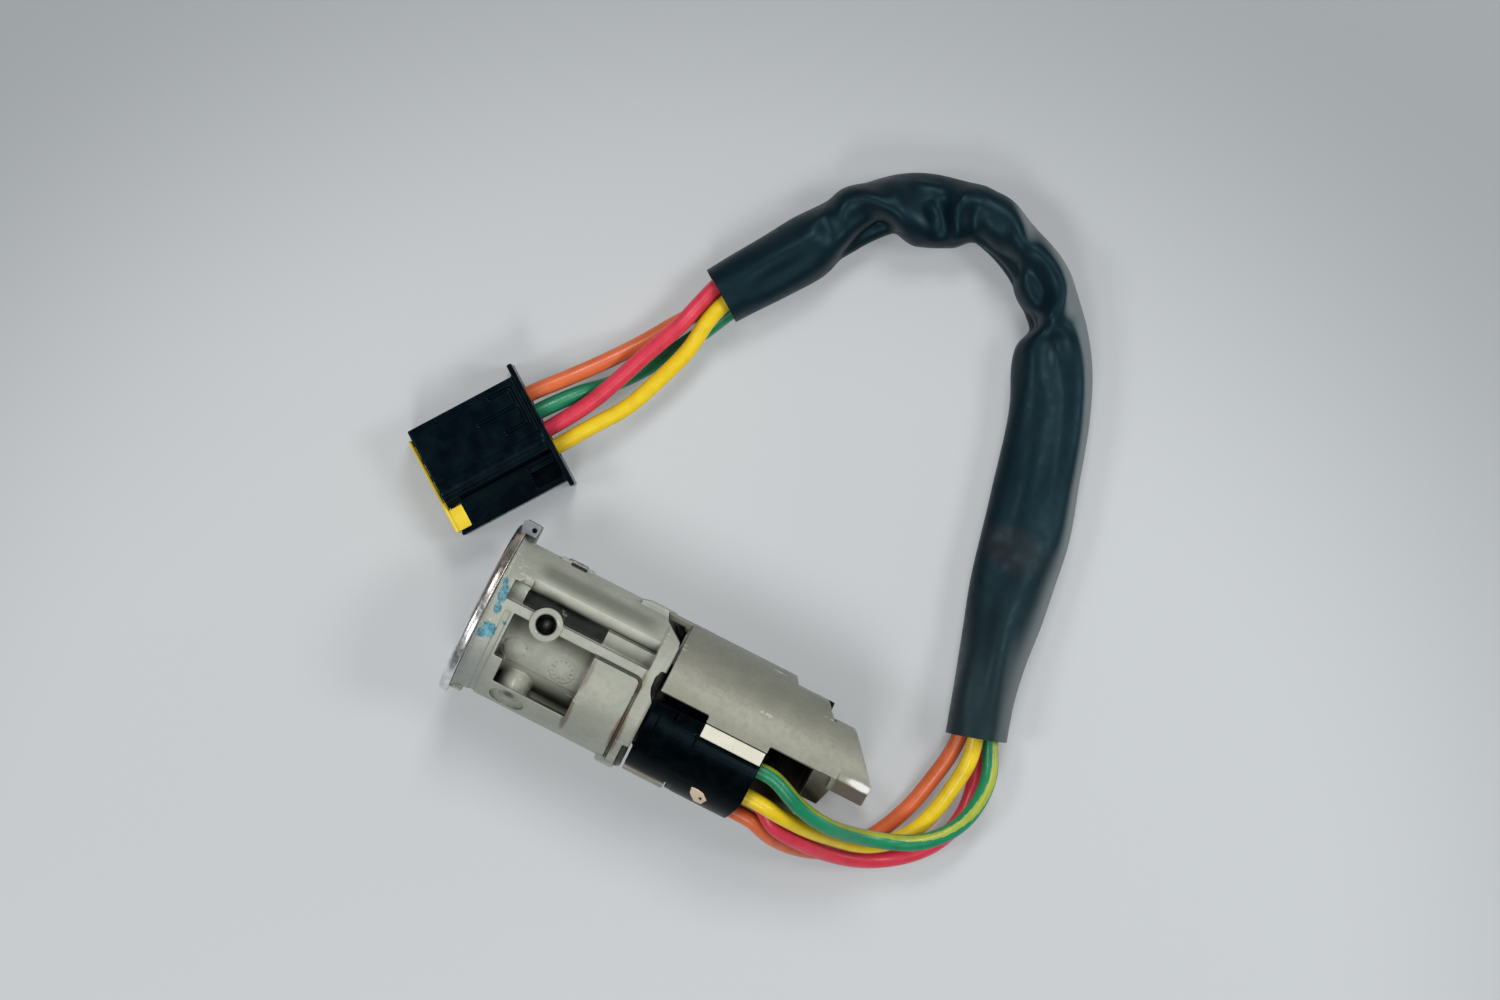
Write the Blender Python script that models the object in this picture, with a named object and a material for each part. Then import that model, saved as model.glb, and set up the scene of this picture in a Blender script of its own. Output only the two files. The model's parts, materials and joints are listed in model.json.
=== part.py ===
"""Ignition switch: steering lock, contact module, four wires in a sleeve, four-way connector.

Lock frame: +X runs from the face ring to the rear tip along the key axis, +Y and +Z across it.
Every length below is in millimetres and is written to the mesh in metres.
"""
import bpy
import bmesh
import math
from mathutils import Vector, Matrix

MM = 0.001

# ---------------------------------------------------------------- driving dimensions
LOCK_LENGTH = 102.5          # face ring front to rear tip
AXIS_X = -LOCK_LENGTH / 2    # row position of the face ring's front
AXIS_Y = -0.70               # row position of the key axis
AXIS_Z = 22.1                # height of the key axis over the resting plane
GAP = 0.3                    # running gap between neighbouring pieces

RING_R = 22.0                # polished face ring
RING_T = 2.4
FRONT_R = 19.1               # front casting
COLLAR_R = 19.6
FRONT_X0, FRONT_X1 = 2.7, 47.3
COLLAR_X = 34.5
CORE_R = 10.7                # bore for the cylinder sleeve
SLEEVE_R, SLEEVE_IN = 10.4, 8.7
PLUG_R = 8.4
REAR_BORE_R = 12.5
REAR_R = 19.4                # rear casting
REAR_IN = 16.2
REAR_X0 = 47.9
SWITCH_R = 15.9              # contact module inside the channel
SWITCH_OUT = 18.9            # and flush with the casting on its open side
SWITCH_X1 = 77.0
BOLT_ANGLE = math.radians(-52.0)
BOLT_W = 6.0
BOLT_TIP = 25.0
CRANK_R = 3.8
KEY_TURN = 100.0

WIRE_D = 4.0
GRID = 0.24                  # plan grid pitch for the measured routes
TURN = math.radians(27.0)    # the lock's axis on that grid
SEG = 36                     # facets of a full turn; arcs share their corners

bpy_col = bpy.context.scene.collection


# ---------------------------------------------------------------- helpers
def clear_scene():
    for ob in list(bpy.data.objects):
        bpy.data.objects.remove(ob, do_unlink=True)


def material(name, rgb, rough, metal=0.0):
    m = bpy.data.materials.new(name)
    m.use_nodes = True
    b = m.node_tree.nodes["Principled BSDF"]
    b.inputs["Base Color"].default_value = (*rgb, 1.0)
    b.inputs["Roughness"].default_value = rough
    b.inputs["Metallic"].default_value = metal
    m.diffuse_color = (*rgb, 1.0)
    return m


def new_object(name, verts, faces):
    me = bpy.data.meshes.new(name)
    me.from_pydata([(v[0] * MM, v[1] * MM, v[2] * MM) for v in verts], [], faces)
    bm = bmesh.new()
    bm.from_mesh(me)
    bmesh.ops.recalc_face_normals(bm, faces=bm.faces)
    bm.to_mesh(me)
    bm.free()
    ob = bpy.data.objects.new(name, me)
    bpy_col.objects.link(ob)
    return ob


def lathe(name, profile, n=SEG, a0=0.0):
    """Turn a closed (x, r) outline about the X axis."""
    verts, rings = [], []
    for x, r in profile:
        if r < 1e-6:
            rings.append([len(verts)])
            verts.append((x, 0.0, 0.0))
        else:
            ring = []
            for i in range(n):
                a = a0 + 2 * math.pi * i / n
                ring.append(len(verts))
                verts.append((x, r * math.cos(a), r * math.sin(a)))
            rings.append(ring)
    faces = []
    m = len(profile)
    for k in range(m):
        p, q = rings[k], rings[(k + 1) % m]
        if len(p) == 1 and len(q) == 1:
            continue
        for i in range(n):
            j = (i + 1) % n
            if len(p) == 1:
                faces.append((p[0], q[j], q[i]))
            elif len(q) == 1:
                faces.append((p[i], p[j], q[0]))
            else:
                faces.append((p[i], p[j], q[j], q[i]))
    return new_object(name, verts, faces)


def prism(name, outline, lo, hi, axis="X"):
    """Extrude a closed outline along an axis: (y, z) for X, (x, z) for Y, (x, y) for Z."""
    def at(p, t):
        if axis == "X":
            return (t, p[0], p[1])
        if axis == "Y":
            return (p[0], t, p[1])
        return (p[0], p[1], t)
    n = len(outline)
    verts = [at(p, lo) for p in outline] + [at(p, hi) for p in outline]
    faces = [tuple(range(n)), tuple(range(n, 2 * n))]
    for i in range(n):
        j = (i + 1) % n
        faces.append((i, j, n + j, n + i))
    return new_object(name, verts, faces)


def box(name, x0, x1, y0, y1, z0, z1):
    return prism(name, [(y0, z0), (y1, z0), (y1, z1), (y0, z1)], x0, x1)


def rod(name, p0, p1, r, n=20, r1=None):
    """A round bar between two points."""
    p0, p1 = Vector(p0), Vector(p1)
    d = (p1 - p0).normalized()
    side = d.orthogonal().normalized()
    up = d.cross(side)
    if r1 is None:
        r1 = r
    verts = []
    for c, rr in ((p0, r), (p1, r1)):
        for i in range(n):
            a = 2 * math.pi * i / n
            verts.append(tuple(c + side * (rr * math.cos(a)) + up * (rr * math.sin(a))))
    faces = [tuple(range(n)), tuple(range(n, 2 * n))]
    for i in range(n):
        j = (i + 1) % n
        faces.append((i, j, n + j, n + i))
    return new_object(name, verts, faces)


def arc(r, a0, a1, step=360.0 / SEG):
    """Points on a faceted circle of the (y, z) plane, angles in degrees from +Y towards +Z.

    Corners sit on whole steps, so walls of one radius share their facets."""
    lo, hi = min(a0, a1), max(a0, a1)
    marks = [lo] + [k * step for k in range(math.ceil(lo / step + 0.02), math.floor(hi / step - 0.02) + 1)] + [hi]
    out = []
    for a in marks:
        k = math.floor(a / step + 1e-9)
        b0, b1 = math.radians(k * step), math.radians((k + 1) * step)
        half = math.radians(step / 2)
        rr = r * math.cos(half) / math.cos(math.radians(a) - (b0 + b1) / 2)
        out.append((rr * math.cos(math.radians(a)), rr * math.sin(math.radians(a))))
    return out if a0 <= a1 else out[::-1]


def sector(name, r0, r1, a0, a1, x0, x1, step=360.0 / SEG):
    """A curved wall between two radii and two angles."""
    return prism(name, arc(r1, a0, a1, step) + arc(r0, a1, a0, step), x0, x1)


def boolean(target, tool, op="DIFFERENCE"):
    """Apply one exact Boolean and drop the tool."""
    mod = target.modifiers.new("cut", "BOOLEAN")
    mod.operation = op
    mod.solver = "EXACT"
    mod.object = tool
    dg = bpy.context.evaluated_depsgraph_get()
    me = bpy.data.meshes.new_from_object(target.evaluated_get(dg))
    target.modifiers.clear()
    old = target.data
    target.data = me
    me.name = target.name
    bpy.data.meshes.remove(old)
    bpy.data.objects.remove(tool, do_unlink=True)
    return target


def cut(target, *tools):
    for t in tools:
        boolean(target, t, "DIFFERENCE")
    return target


def join(target, *tools):
    for t in tools:
        boolean(target, t, "UNION")
    return target


def tidy(ob, dist=0.000002):
    """Merge split corners and flat neighbours, as long as the surface stays closed."""
    for merge_flat in (True, False):
        bm = bmesh.new()
        bm.from_mesh(ob.data)
        bmesh.ops.remove_doubles(bm, verts=bm.verts, dist=dist)
        bmesh.ops.dissolve_degenerate(bm, edges=bm.edges, dist=dist)
        if merge_flat:
            bmesh.ops.dissolve_limit(bm, angle_limit=math.radians(0.4), verts=bm.verts, edges=bm.edges)
        bmesh.ops.triangulate(bm, faces=bm.faces)
        closed = all(len(e.link_faces) == 2 for e in bm.edges)
        if closed or not merge_flat:
            bm.to_mesh(ob.data)
            bm.free()
            return ob
        bm.free()


def finish(ob, mat, parent, smooth=True, clean=True):
    if clean:
        tidy(ob)
    ob.data.materials.clear()
    ob.data.materials.append(mat)
    if parent is not None:
        ob.parent = parent
    if smooth:
        ob.data.shade_smooth()
        ob.data.set_sharp_from_angle(angle=math.radians(30))
    return ob


def shift(ob, dx, dy, dz):
    ob.data.transform(Matrix.Translation((dx * MM, dy * MM, dz * MM)))
    return ob


def frame_empty(name, loc, rot_z=0.0):
    e = bpy.data.objects.new(name, None)
    e.location = (loc[0] * MM, loc[1] * MM, loc[2] * MM)
    e.rotation_euler = (0, 0, rot_z)
    bpy_col.objects.link(e)
    return e


def set_origin(ob, p):
    """Move the object's origin to p (mm) and keep the mesh where it is."""
    v = Vector(p) * MM
    ob.data.transform(Matrix.Translation(-v))
    ob.location = v
    return ob


clear_scene()

ZINC = material("zinc_casting", (0.42, 0.42, 0.37), 0.55, 0.7)
ZINC2 = material("zinc_rear", (0.38, 0.38, 0.34), 0.5, 0.7)
POLISHED = material("polished_steel", (0.75, 0.73, 0.70), 0.12, 1.0)
STEEL = material("steel", (0.5, 0.5, 0.5), 0.3, 1.0)
BRASS = material("brass", (0.75, 0.55, 0.22), 0.3, 1.0)
BLACK = material("black_plastic", (0.012, 0.018, 0.024), 0.4)
CREAM = material("cream_plastic", (0.78, 0.76, 0.62), 0.5)
YELLOW = material("yellow_plastic", (0.85, 0.65, 0.03), 0.45)
SLEEVE_MAT = material("black_sleeve", (0.015, 0.03, 0.045), 0.4)
WIRE_MATS = {
    "orange": material("wire_orange", (0.80, 0.16, 0.04), 0.42),
    "red": material("wire_red", (0.80, 0.04, 0.10), 0.42),
    "yellow": material("wire_yellow", (0.86, 0.66, 0.02), 0.42),
    "green": material("wire_green", (0.0, 0.24, 0.10), 0.42),
}

LOCK = frame_empty("lock_frame", (AXIS_X, AXIS_Y, AXIS_Z))


# ---------------------------------------------------------------- front casting
def make_lock_housing():
    ob = lathe("lock_housing", [
        (FRONT_X0, CORE_R), (FRONT_X0, FRONT_R - 0.3), (FRONT_X0 + 0.3, FRONT_R), (COLLAR_X, FRONT_R),
        (COLLAR_X + 0.5, COLLAR_R), (FRONT_X1 - 0.6, COLLAR_R), (FRONT_X1, COLLAR_R - 0.6),
        (FRONT_X1, REAR_BORE_R), (40.6, REAR_BORE_R), (40.6, CORE_R)])
    # long recess between the half-round flank and the rib, with a deep window in it
    cut(ob,
        box("c", 5.5, 43.2, 5.1, 10.0, 14.6, 30),
        box("c", 9.4, 30.5, 5.4, 9.2, 11.2, 30))
    shoulder = [(12.9 + 4.0 * math.cos(math.radians(a)), 10.9 + 4.0 * math.sin(math.radians(a)))
                for a in (180, 165, 150, 135, 120, 107, 95)]
    cut(ob, prism("c", [(8.9, 30)] + shoulder + [(12.55, 30)], 9.6, 43.0))
    # pocket under the rib: floor on a smaller radius, deeper than the screw boss is tall
    def pocket(r, y_hi, y_lo):
        return arc(r, math.degrees(math.acos(y_hi / r)), math.degrees(math.acos(y_lo / r)))
    cut(ob,
        prism("c", pocket(13.2, 2.8, -8.2) + [(-8.2, 30), (2.8, 30)], 8.9, 30.5),
        prism("c", pocket(13.1, -7.9, -12.3) + [(-14.0, 4.55), (-14.0, 31), (-7.9, 31)], 11.3, 30.4))
    # groove that outlines the smooth band, along the rib and round the collar
    cut(ob, box("c", 30.0, 42.9, 2.15, 2.8, 18.3, 30))
    g = sector("c", 18.5, 25, 81.5, 205, 42.5, 43.7)
    cut(ob, g)
    # corner between the casting and the rear one, open notches in the rear edge
    cut(ob,
        prism("c", [(40.9, 30), (40.9, 19.9), (42.1, 17.2), (44.5, 15.5), (46.8, 14.0), (47.1, 12.9),
                    (60, 12.9), (60, 30)], -6.0, 30, "Z"),
        box("c", 45.8, 60, 0.4, 6.4, 13.2, 30),
        box("c", 45.6, 60, -30, -13.5, 2.0, 30))
    # round boss on the rib and a radial screw boss in the pocket
    join(ob, rod("j", (16.8, 3.7, 11.0), (16.8, 3.7, 19.3), 4.0, 28))
    ry, rz = -0.891, 0.454
    join(ob, rod("j", (16.1, 11.6 * ry, 11.6 * rz), (16.1, 17.9 * ry, 17.9 * rz), 4.1, 28))
    cut(ob,
        rod("c", (16.1, 17.9 * ry, 17.9 * rz), (16.1, 27 * ry, 27 * rz), 4.9, 28),
        rod("c", (16.1, 12.6 * ry, 12.6 * rz), (16.1, 27 * ry, 27 * rz), 2.1, 20),
        rod("c", (16.8, 3.7, 11.7), (16.8, 3.7, 30), 2.45, 24))
    # lugs behind the face ring: the top one is drilled, the lowest one is the front foot
    join(ob,
         box("j", 2.75, 5.5, 17.5, 23.4, -3.5, 3.5),
         box("j", 2.75, 5.3, -20.4, -17.5, -3.0, 3.0),
         box("j", 2.75, 5.5, -5.5, 5.5, -AXIS_Z, -17.0),
         box("j", 41.0, 45.8, -20.3, -17.5, -3.5, 3.5))
    cut(ob, rod("c", (4.2, 21.9, -6), (4.2, 21.9, 6), 0.75, 12))
    # slot for the retaining button, with a raised lip round it
    join(ob, box("j", 12.6, 21.0, 17.0, 19.45, -3.4, 3.4))
    cut(ob, box("c", 13.2, 20.4, 12.6, 30, -2.6, 2.6))
    return finish(ob, ZINC, LOCK)


make_lock_housing()

# polished ring over the front, black dial plate inside it
finish(lathe("face_ring", [(0.0, 15.2), (0.0, 21.0), (0.35, 21.65), (1.0, RING_R), (RING_T, RING_R),
                           (RING_T, 15.2)], 40), POLISHED, LOCK)
dial = lathe("dial_plate", [(0.9, 11.2), (0.9, 14.5), (1.2, 14.9), (2.4, 14.9), (2.4, 11.2)], 36)
finish(dial, BLACK, LOCK)


# ---------------------------------------------------------------- lock cylinder
WAFER_X = [14.0 + 4.4 * i for i in range(5)]
sleeve = lathe("cylinder_sleeve", [(2.9, SLEEVE_IN), (2.9, SLEEVE_R), (40.2, SLEEVE_R), (40.2, SLEEVE_IN)])
cut(sleeve,
    box("c", 11.0, 35.5, -3.3, 3.3, -9.75, -7.0),
    box("c", 11.0, 35.5, -3.3, 3.3, 7.0, 9.75))
finish(sleeve, BRASS, LOCK)

plug = lathe("key_plug", [
    (1.5, 0.0), (1.5, 10.6), (2.6, 10.6), (2.6, PLUG_R), (40.5, PLUG_R), (40.5, 5.2), (41.9, 5.2),
    (41.9, 6.2), (43.5, 6.2), (43.5, 0.0)])
cut(plug,
    box("c", -1, 12.7, -2.3, 2.3, -5.7, 6.5),
    box("c", 5.0, 36.5, -1.25, 1.25, -4.3, 4.3),
    box("c", 41.2, 50, -1.3, 1.3, -3.3, 3.3))
for wx in WAFER_X:
    cut(plug, box("c", wx - 0.8, wx + 0.8, -3.1, 3.1, -12, 12))
finish(plug, BRASS, LOCK)

cap = lathe("plug_cap", [(0.35, 0.0), (0.35, 10.2), (0.6, 10.6), (1.2, 10.6), (1.2, 0.0)], 40)
cut(cap, box("c", -1, 5, -1.4, 1.4, -4.4, 4.4))
finish(cap, STEEL, LOCK)

# the dust shutter turns about a bar across the top of the key slot
shutter = box("key_shutter", 1.6, 2.3, -1.9, 1.9, -4.8, 5.2)
join(shutter, rod("j", (2.2, -1.95, 5.4), (2.2, 1.95, 5.4), 0.6, 14))
finish(shutter, STEEL, LOCK)
set_origin(shutter, (2.2, 0, 5.4))


def make_wafer(i, wx):
    top, low = 8.25, -8.25
    half = 2.75
    k = math.sqrt(8.3 ** 2 - half ** 2)
    pts = [(-half, -k), (-1.4, low + 0.13), (1.4, low + 0.13), (half, -k), (half, k), (1.4, top - 0.13),
           (-1.4, top - 0.13), (-half, k)]
    w = prism("wafer_%d" % i, pts, wx - 0.5, wx + 0.5)
    cut(w, box("c", wx - 2, wx + 2, -1.6, 1.6, -4.6 + 0.25 * ((i * 2) % 5), 4.6))
    finish(w, BRASS, LOCK, smooth=False)
    return w


for i, wx in enumerate(WAFER_X):
    make_wafer(i + 1, wx)

clip = lathe("plug_clip", [(40.75, 5.5), (40.75, 9.6), (41.6, 9.6), (41.6, 5.5)], 32)
cut(clip, box("c", 40, 42.5, -20, -3, -3.5, 3.5))
finish(clip, STEEL, LOCK)


def make_coil(name, axis_from, axis_dir, mean_r, wire_r, turns, length, mat, per_turn=14, sides=6):
    """A coil with plain ends about a line, its wire centre climbing at an even rate."""
    d = Vector(axis_dir).normalized()
    side = d.orthogonal().normalized()
    up = d.cross(side)
    n = int(turns * per_turn)
    pitch = length / turns
    verts, faces = [], []
    for i in range(n + 1):
        a = 2 * math.pi * i / per_turn
        radial = side * math.cos(a) + up * math.sin(a)
        tangent = (up * math.cos(a) - side * math.sin(a)) * (2 * math.pi * mean_r) + d * pitch
        tangent.normalize()
        binormal = tangent.cross(radial)
        centre = Vector(axis_from) + d * (length * i / n) + radial * mean_r
        for k in range(sides):
            b = 2 * math.pi * k / sides
            verts.append(tuple(centre + radial * (wire_r * math.cos(b)) + binormal * (wire_r * math.sin(b))))
    for i in range(n):
        for k in range(sides):
            j = (k + 1) % sides
            faces.append((i * sides + k, i * sides + j, (i + 1) * sides + j, (i + 1) * sides + k))
    faces.append(tuple(range(sides)))
    faces.append(tuple(range(n * sides, (n + 1) * sides)))
    return finish(new_object(name, verts, faces), mat, LOCK, clean=False)


make_coil("return_spring", (42.6, 0, 0), (1, 0, 0), 8.4, 0.5, 3.0, 4.2, STEEL)

# round pin that holds the cylinder, sunk in the boss on the rib
finish(lathe("cylinder_pin", [(0, 0), (0, 1.7), (0.4, 2.1), (3.0, 2.1), (3.4, 1.7), (3.4, 0)], 20), STEEL, LOCK)
pin = bpy.data.objects["cylinder_pin"]
pin.data.transform(Matrix.Translation((16.8 * MM, 3.7 * MM, 12.0 * MM)) @ Matrix.Rotation(-math.pi / 2, 4, "Y"))

# retaining button on the flank and its spring
button = box("retaining_button", 13.5, 20.1, 15.6, 19.3, -2.3, 2.3)
join(button, prism("j", [(14.0, 19.0), (19.6, 19.0), (19.2, 19.85), (14.4, 19.85)], -2.0, 2.0, "Z"))
cut(button, box("c", 15.6, 18.3, 19.4, 22, -1.1, 1.1))
finish(button, STEEL, LOCK, smooth=False)
make_coil("button_spring", (16.8, 13.2, 0), (0, 1, 0), 1.3, 0.25, 3.0, 1.8, STEEL, per_turn=10, sides=5)


# ---------------------------------------------------------------- rear casting
BD = Vector((0, math.cos(BOLT_ANGLE), math.sin(BOLT_ANGLE)))      # the way the bolt comes out
BE = Vector((0, -math.sin(BOLT_ANGLE), math.cos(BOLT_ANGLE)))     # across the bolt


def bolt_box(name, s0, s1, e0, e1, x0, x1):
    """A block in the bolt's own directions."""
    pts = []
    for s, e in ((s0, e0), (s1, e0), (s1, e1), (s0, e1)):
        v = BD * s + BE * e
        pts.append((v.y, v.z))
    return prism(name, pts, x0, x1)


def make_rear_housing():
    lip = math.degrees(math.acos(2.2 / REAR_R))        # edge of the channel over the module
    lip2 = math.degrees(math.acos(0.3 / REAR_R))
    ob = sector("rear_housing", REAR_IN, REAR_R, lip, -150, REAR_X0, 90.0)
    join(ob,
         sector("j", REAR_IN + 0.06, REAR_R - 0.06, lip2, 63, 60.8, 76.9),
         sector("j", REAR_IN + 0.06, REAR_R - 0.06, -143, -200, REAR_X0 + 0.1, 58.6))
    # web and spigot into the front casting
    join(ob,
         sector("j", 10.9, REAR_IN + 1.0, 75, -145, 48.3, 50.2),
         lathe("j", [(43.6, 10.5), (43.6, 12.2), (49.9, 12.2), (49.9, 10.5)]))
    # tongue beside the front casting
    join(ob, prism("j", [(42.35, 17.55), (41.6, 19.25), (49.5, 19.25), (49.5, 16.6), (46.9, 16.6), (46.3, 17.55)],
                   -4.5, 4.5, "Z"))
    # rear wall with a sloping inner face, closed to the tip
    wall = [(2.3, 19.2)] + arc(REAR_R - 0.1, lip - 0.5, -104)[1:] + [(-5.4, -18.6), (-5.8, 3.0), (2.0, 14.5)]
    join(ob, prism("j", wall, 88.6, 94.2))
    tip = [(4.4, 18.7)] + arc(REAR_R - 0.04, 76.5, -38)[1:] + [(10.0, -12.0), (-0.9, -12.0), (-0.9, 15.4), (2.3, 18.4)]
    join(ob, prism("j", tip, 93.0, LOCK_LENGTH))
    # guide block for the bolt
    join(ob, bolt_box("j", 7.6, 18.6, -5.2, 5.2, 79.2, 89.0))
    # foot along the underside
    join(ob, box("j", 60.0, 93.8, -5.0, 5.0, -AXIS_Z, -17.6))
    # stepped flats on the flank, sloping to the tip
    cut(ob, prism("c", [(75.3, 19.6), (76.9, 17.4), (85.1, 17.4), (88.0, 14.0), (94.0, 14.0), (102.7, 4.1),
                        (110, 4.1), (110, 30), (75.3, 30)], -30, 30, "Z"))
    cut(ob, prism("c", [(93.0, -6.5), (94.4, -0.9), (94.4, -9.0), (100, -9.0), (100, -30), (93.0, -30)],
                  -30, 30, "Z"))
    # bolt channel
    cut(ob, bolt_box("c", 5.0, 40.0, -BOLT_W / 2 - GAP, BOLT_W / 2 + GAP, 80.7, 87.3))
    return finish(ob, ZINC2, LOCK)


make_rear_housing()

# ---------------------------------------------------------------- shaft, bolt
tail = box("tail_shaft", 41.6, 45.0, -1.0, 1.0, -3.0, 3.0)
join(tail,
     lathe("j", [(44.2, 0), (44.2, 6.6), (46.2, 6.6), (46.2, 0)], 28),
     box("j", 45.8, 72.0, -2.5, 2.5, -2.5, 2.5),
     lathe("j", [(71.6, 0), (71.6, 3.2), (79.4, 3.2), (79.4, 0)], 28),
     lathe("j", [(78.9, 0), (78.9, 6.2), (80.4, 6.2), (80.4, 0)], 32))
pin_dir = BD * math.cos(math.radians(90 - KEY_TURN / 2)) + BE * math.sin(math.radians(90 - KEY_TURN / 2))
pc = pin_dir * CRANK_R
join(tail, rod("j", (80.0, pc.y, pc.z), (86.6, pc.y, pc.z), 1.6, 18))
finish(tail, STEEL, LOCK)

S0 = CRANK_R * math.sin(math.radians(KEY_TURN / 2))
bolt = bolt_box("steering_bolt", 4.0, BOLT_TIP - 0.8, -3.0, 3.0, 81.0, 87.0)
join(bolt,
     bolt_box("j", -1.2, 6.6, -3.0, 7.2, 81.0, 87.0),
     bolt_box("j", BOLT_TIP - 3.0, BOLT_TIP, -2.3, 2.3, 81.7, 86.3))
E0 = CRANK_R * math.cos(math.radians(KEY_TURN / 2))
cut(bolt, bolt_box("c", S0 - 1.6 - 0.4, S0 + 1.6 + 0.4, E0 - 1.6 - 0.45, CRANK_R + 1.6 + 0.45, 79, 90))
finish(bolt, STEEL, LOCK, smooth=False)


# ---------------------------------------------------------------- contact module
WIRES = {                    # where each wire leaves the module, in the lock frame (y, z)
    "green": (-4.3, 13.2),
    "yellow": (-11.4, 9.0),
    "orange": (-16.2, 1.4),
    "red": (-11.9, 3.6),
}
RIVET = {"green": 107.0, "yellow": 137.0, "red": 163.0, "orange": 190.0}   # degrees, on a 9 mm circle


def make_switch_body():
    def outline(r_in, r_out, a0, a1):
        """Round section with one raised stretch of wall between two angles."""
        return arc(r_out, a0, a1) + arc(r_in, a1 + 0.01, a0 + 359.99)
    ob = prism("switch_body", outline(SWITCH_R, SWITCH_OUT, 100.8, 206.5), 60.6, SWITCH_X1)
    join(ob,
         prism("j", outline(SWITCH_R - 0.03, SWITCH_OUT - 0.03, 90.6, 156.8), 50.5, 60.9),
         sector("j", 13.6, SWITCH_OUT - 0.06, 90.9, 156.5, REAR_X0, 51.5),
         sector("j", 13.8, SWITCH_OUT - 0.1, 152, 205.8, 59.0, 61.5))
    cut(ob,
        rod("c", (45.0, 0, 0), (73.0, 0, 0), 13.4, 36),
        rod("c", (70.0, 0, 0), (90.0, 0, 0), 3.7, 20))
    # space behind the fixed contacts
    cut(ob, sector("c", 8.0, 17.75, 103, 199, 70.0, 73.0))
    # notch between the two raised pads, step along the edge, sloped rear corner
    cut(ob, box("c", 53.6, 54.4, -2.6, 3.0, 17.3, 25))
    cut(ob, prism("c", [(SWITCH_X1 + 1, -14.0), (SWITCH_X1 + 1, -30), (74.0, -30), (75.2, -19.2), (SWITCH_X1 + 0.05, -14.2)],
                  -30, 30, "Z"))
    # openings for the carrier's strip and tab
    cut(ob, box("c", 66.2, 70.0, -2.9, 0.6, 10.0, 30))
    ta = math.radians(160.0)
    t = Vector((0, math.cos(ta), math.sin(ta)))
    u = Vector((0, -math.sin(ta), math.cos(ta)))
    pts = []
    for s, e in ((10, -1.9), (30, -1.9), (30, 1.9), (10, 1.9)):
        v = t * s + u * e
        pts.append((v.y, v.z))
    cut(ob, prism("c", pts, 64.6, 69.8))
    # wire bores through the rear wall
    for y, z in WIRES.values():
        cut(ob, rod("c", (71.5, y, z), (85, y, z), WIRE_D / 2 + 0.32, 16))
    return finish(ob, BLACK, LOCK)


make_switch_body()


def make_carrier():
    ob = lathe("contact_carrier", [(66.5, 4.6), (66.5, 13.1), (69.7, 13.1), (69.7, 4.6)], 28)
    join(ob,
         box("j", 66.5, 69.7, -2.5, -0.1, 11.0, 18.0),
         prism("j", [(-2.55, 16.25), (0.0, 16.25), (0.0, 19.05), (-2.35, 18.85), (-2.55, 18.7)], 60.95, 76.7))
    ta = math.radians(160.0)
    t = Vector((0, math.cos(ta), math.sin(ta)))
    u = Vector((0, -math.sin(ta), math.cos(ta)))

    def block(s0, s1, e0, e1, x0, x1):
        pts = []
        for s, e in ((s0, e0), (s1, e0), (s1, e1), (s0, e1)):
            v = t * s + u * e
            pts.append((v.y, v.z))
        return prism("j", pts, x0, x1)
    join(ob, block(12.0, 18.6, -1.55, 1.55, 66.5, 69.5))
    join(ob, block(15.0, 19.3, -1.55, 1.55, 64.95, 69.5))
    for a in RIVET.values():
        y, z = 9.0 * math.cos(math.radians(a)), 9.0 * math.sin(math.radians(a))
        cut(ob, rod("c", (60, y, z), (72, y, z), 1.5, 14))
    return finish(ob, CREAM, LOCK)


make_carrier()

for colour, (y, z) in WIRES.items():
    a = math.radians(RIVET[colour])
    ry, rz = 9.0 * math.cos(a), 9.0 * math.sin(a)
    c = rod("contact_" + colour, (65.0, ry, rz), (70.8, ry, rz), 1.15, 14)
    d = Vector((0, y - ry, z - rz))
    L = d.length
    d.normalize()
    e = Vector((0, -d.z, d.y))
    pts = []
    for s, w in ((-1.5, -1.0), (L + 0.9, -1.0), (L + 0.9, 1.0), (-1.5, 1.0)):
        v = Vector((0, ry, rz)) + d * s + e * w
        pts.append((v.y, v.z))
    join(c, prism("j", pts, 70.4, 71.2), rod("j", (70.9, y, z), (72.3, y, z), 0.9, 12))
    finish(c, BRASS, LOCK)

rotor = lathe("contact_rotor", [(51.2, 0), (51.2, 12.9), (60.0, 12.9), (60.0, 9.0), (62.4, 9.0), (62.4, 0)], 28)
cut(rotor, box("c", 45, 80, -2.8, 2.8, -2.8, 2.8))
finish(rotor, CREAM, LOCK)
bridge = sector("contact_bridge", 5.6, 11.4, 100, 215, 62.75, 63.9)
join(bridge, lathe("j", [(62.75, 4.2), (62.75, 6.4), (63.6, 6.4), (63.6, 4.2)], 28))
for a in (RIVET["green"], RIVET["yellow"]):
    y, z = 9.0 * math.cos(math.radians(a)), 9.0 * math.sin(math.radians(a))
    join(bridge, rod("j", (63.5, y, z), (64.6, y, z), 1.2, 12))
finish(bridge, BRASS, LOCK)


# ---------------------------------------------------------------- cord routes
def plan(px, py):
    """A point on the plan grid (pitch GRID, turned by TURN) as row X, Y in millimetres."""
    u = (px - 590) * math.cos(TURN) + (py - 625) * math.sin(TURN)
    v = -(px - 590) * math.sin(TURN) + (py - 625) * math.cos(TURN)
    return GRID * (u - 106.5), -GRID * (v - 31.5) + AXIS_Y


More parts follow.
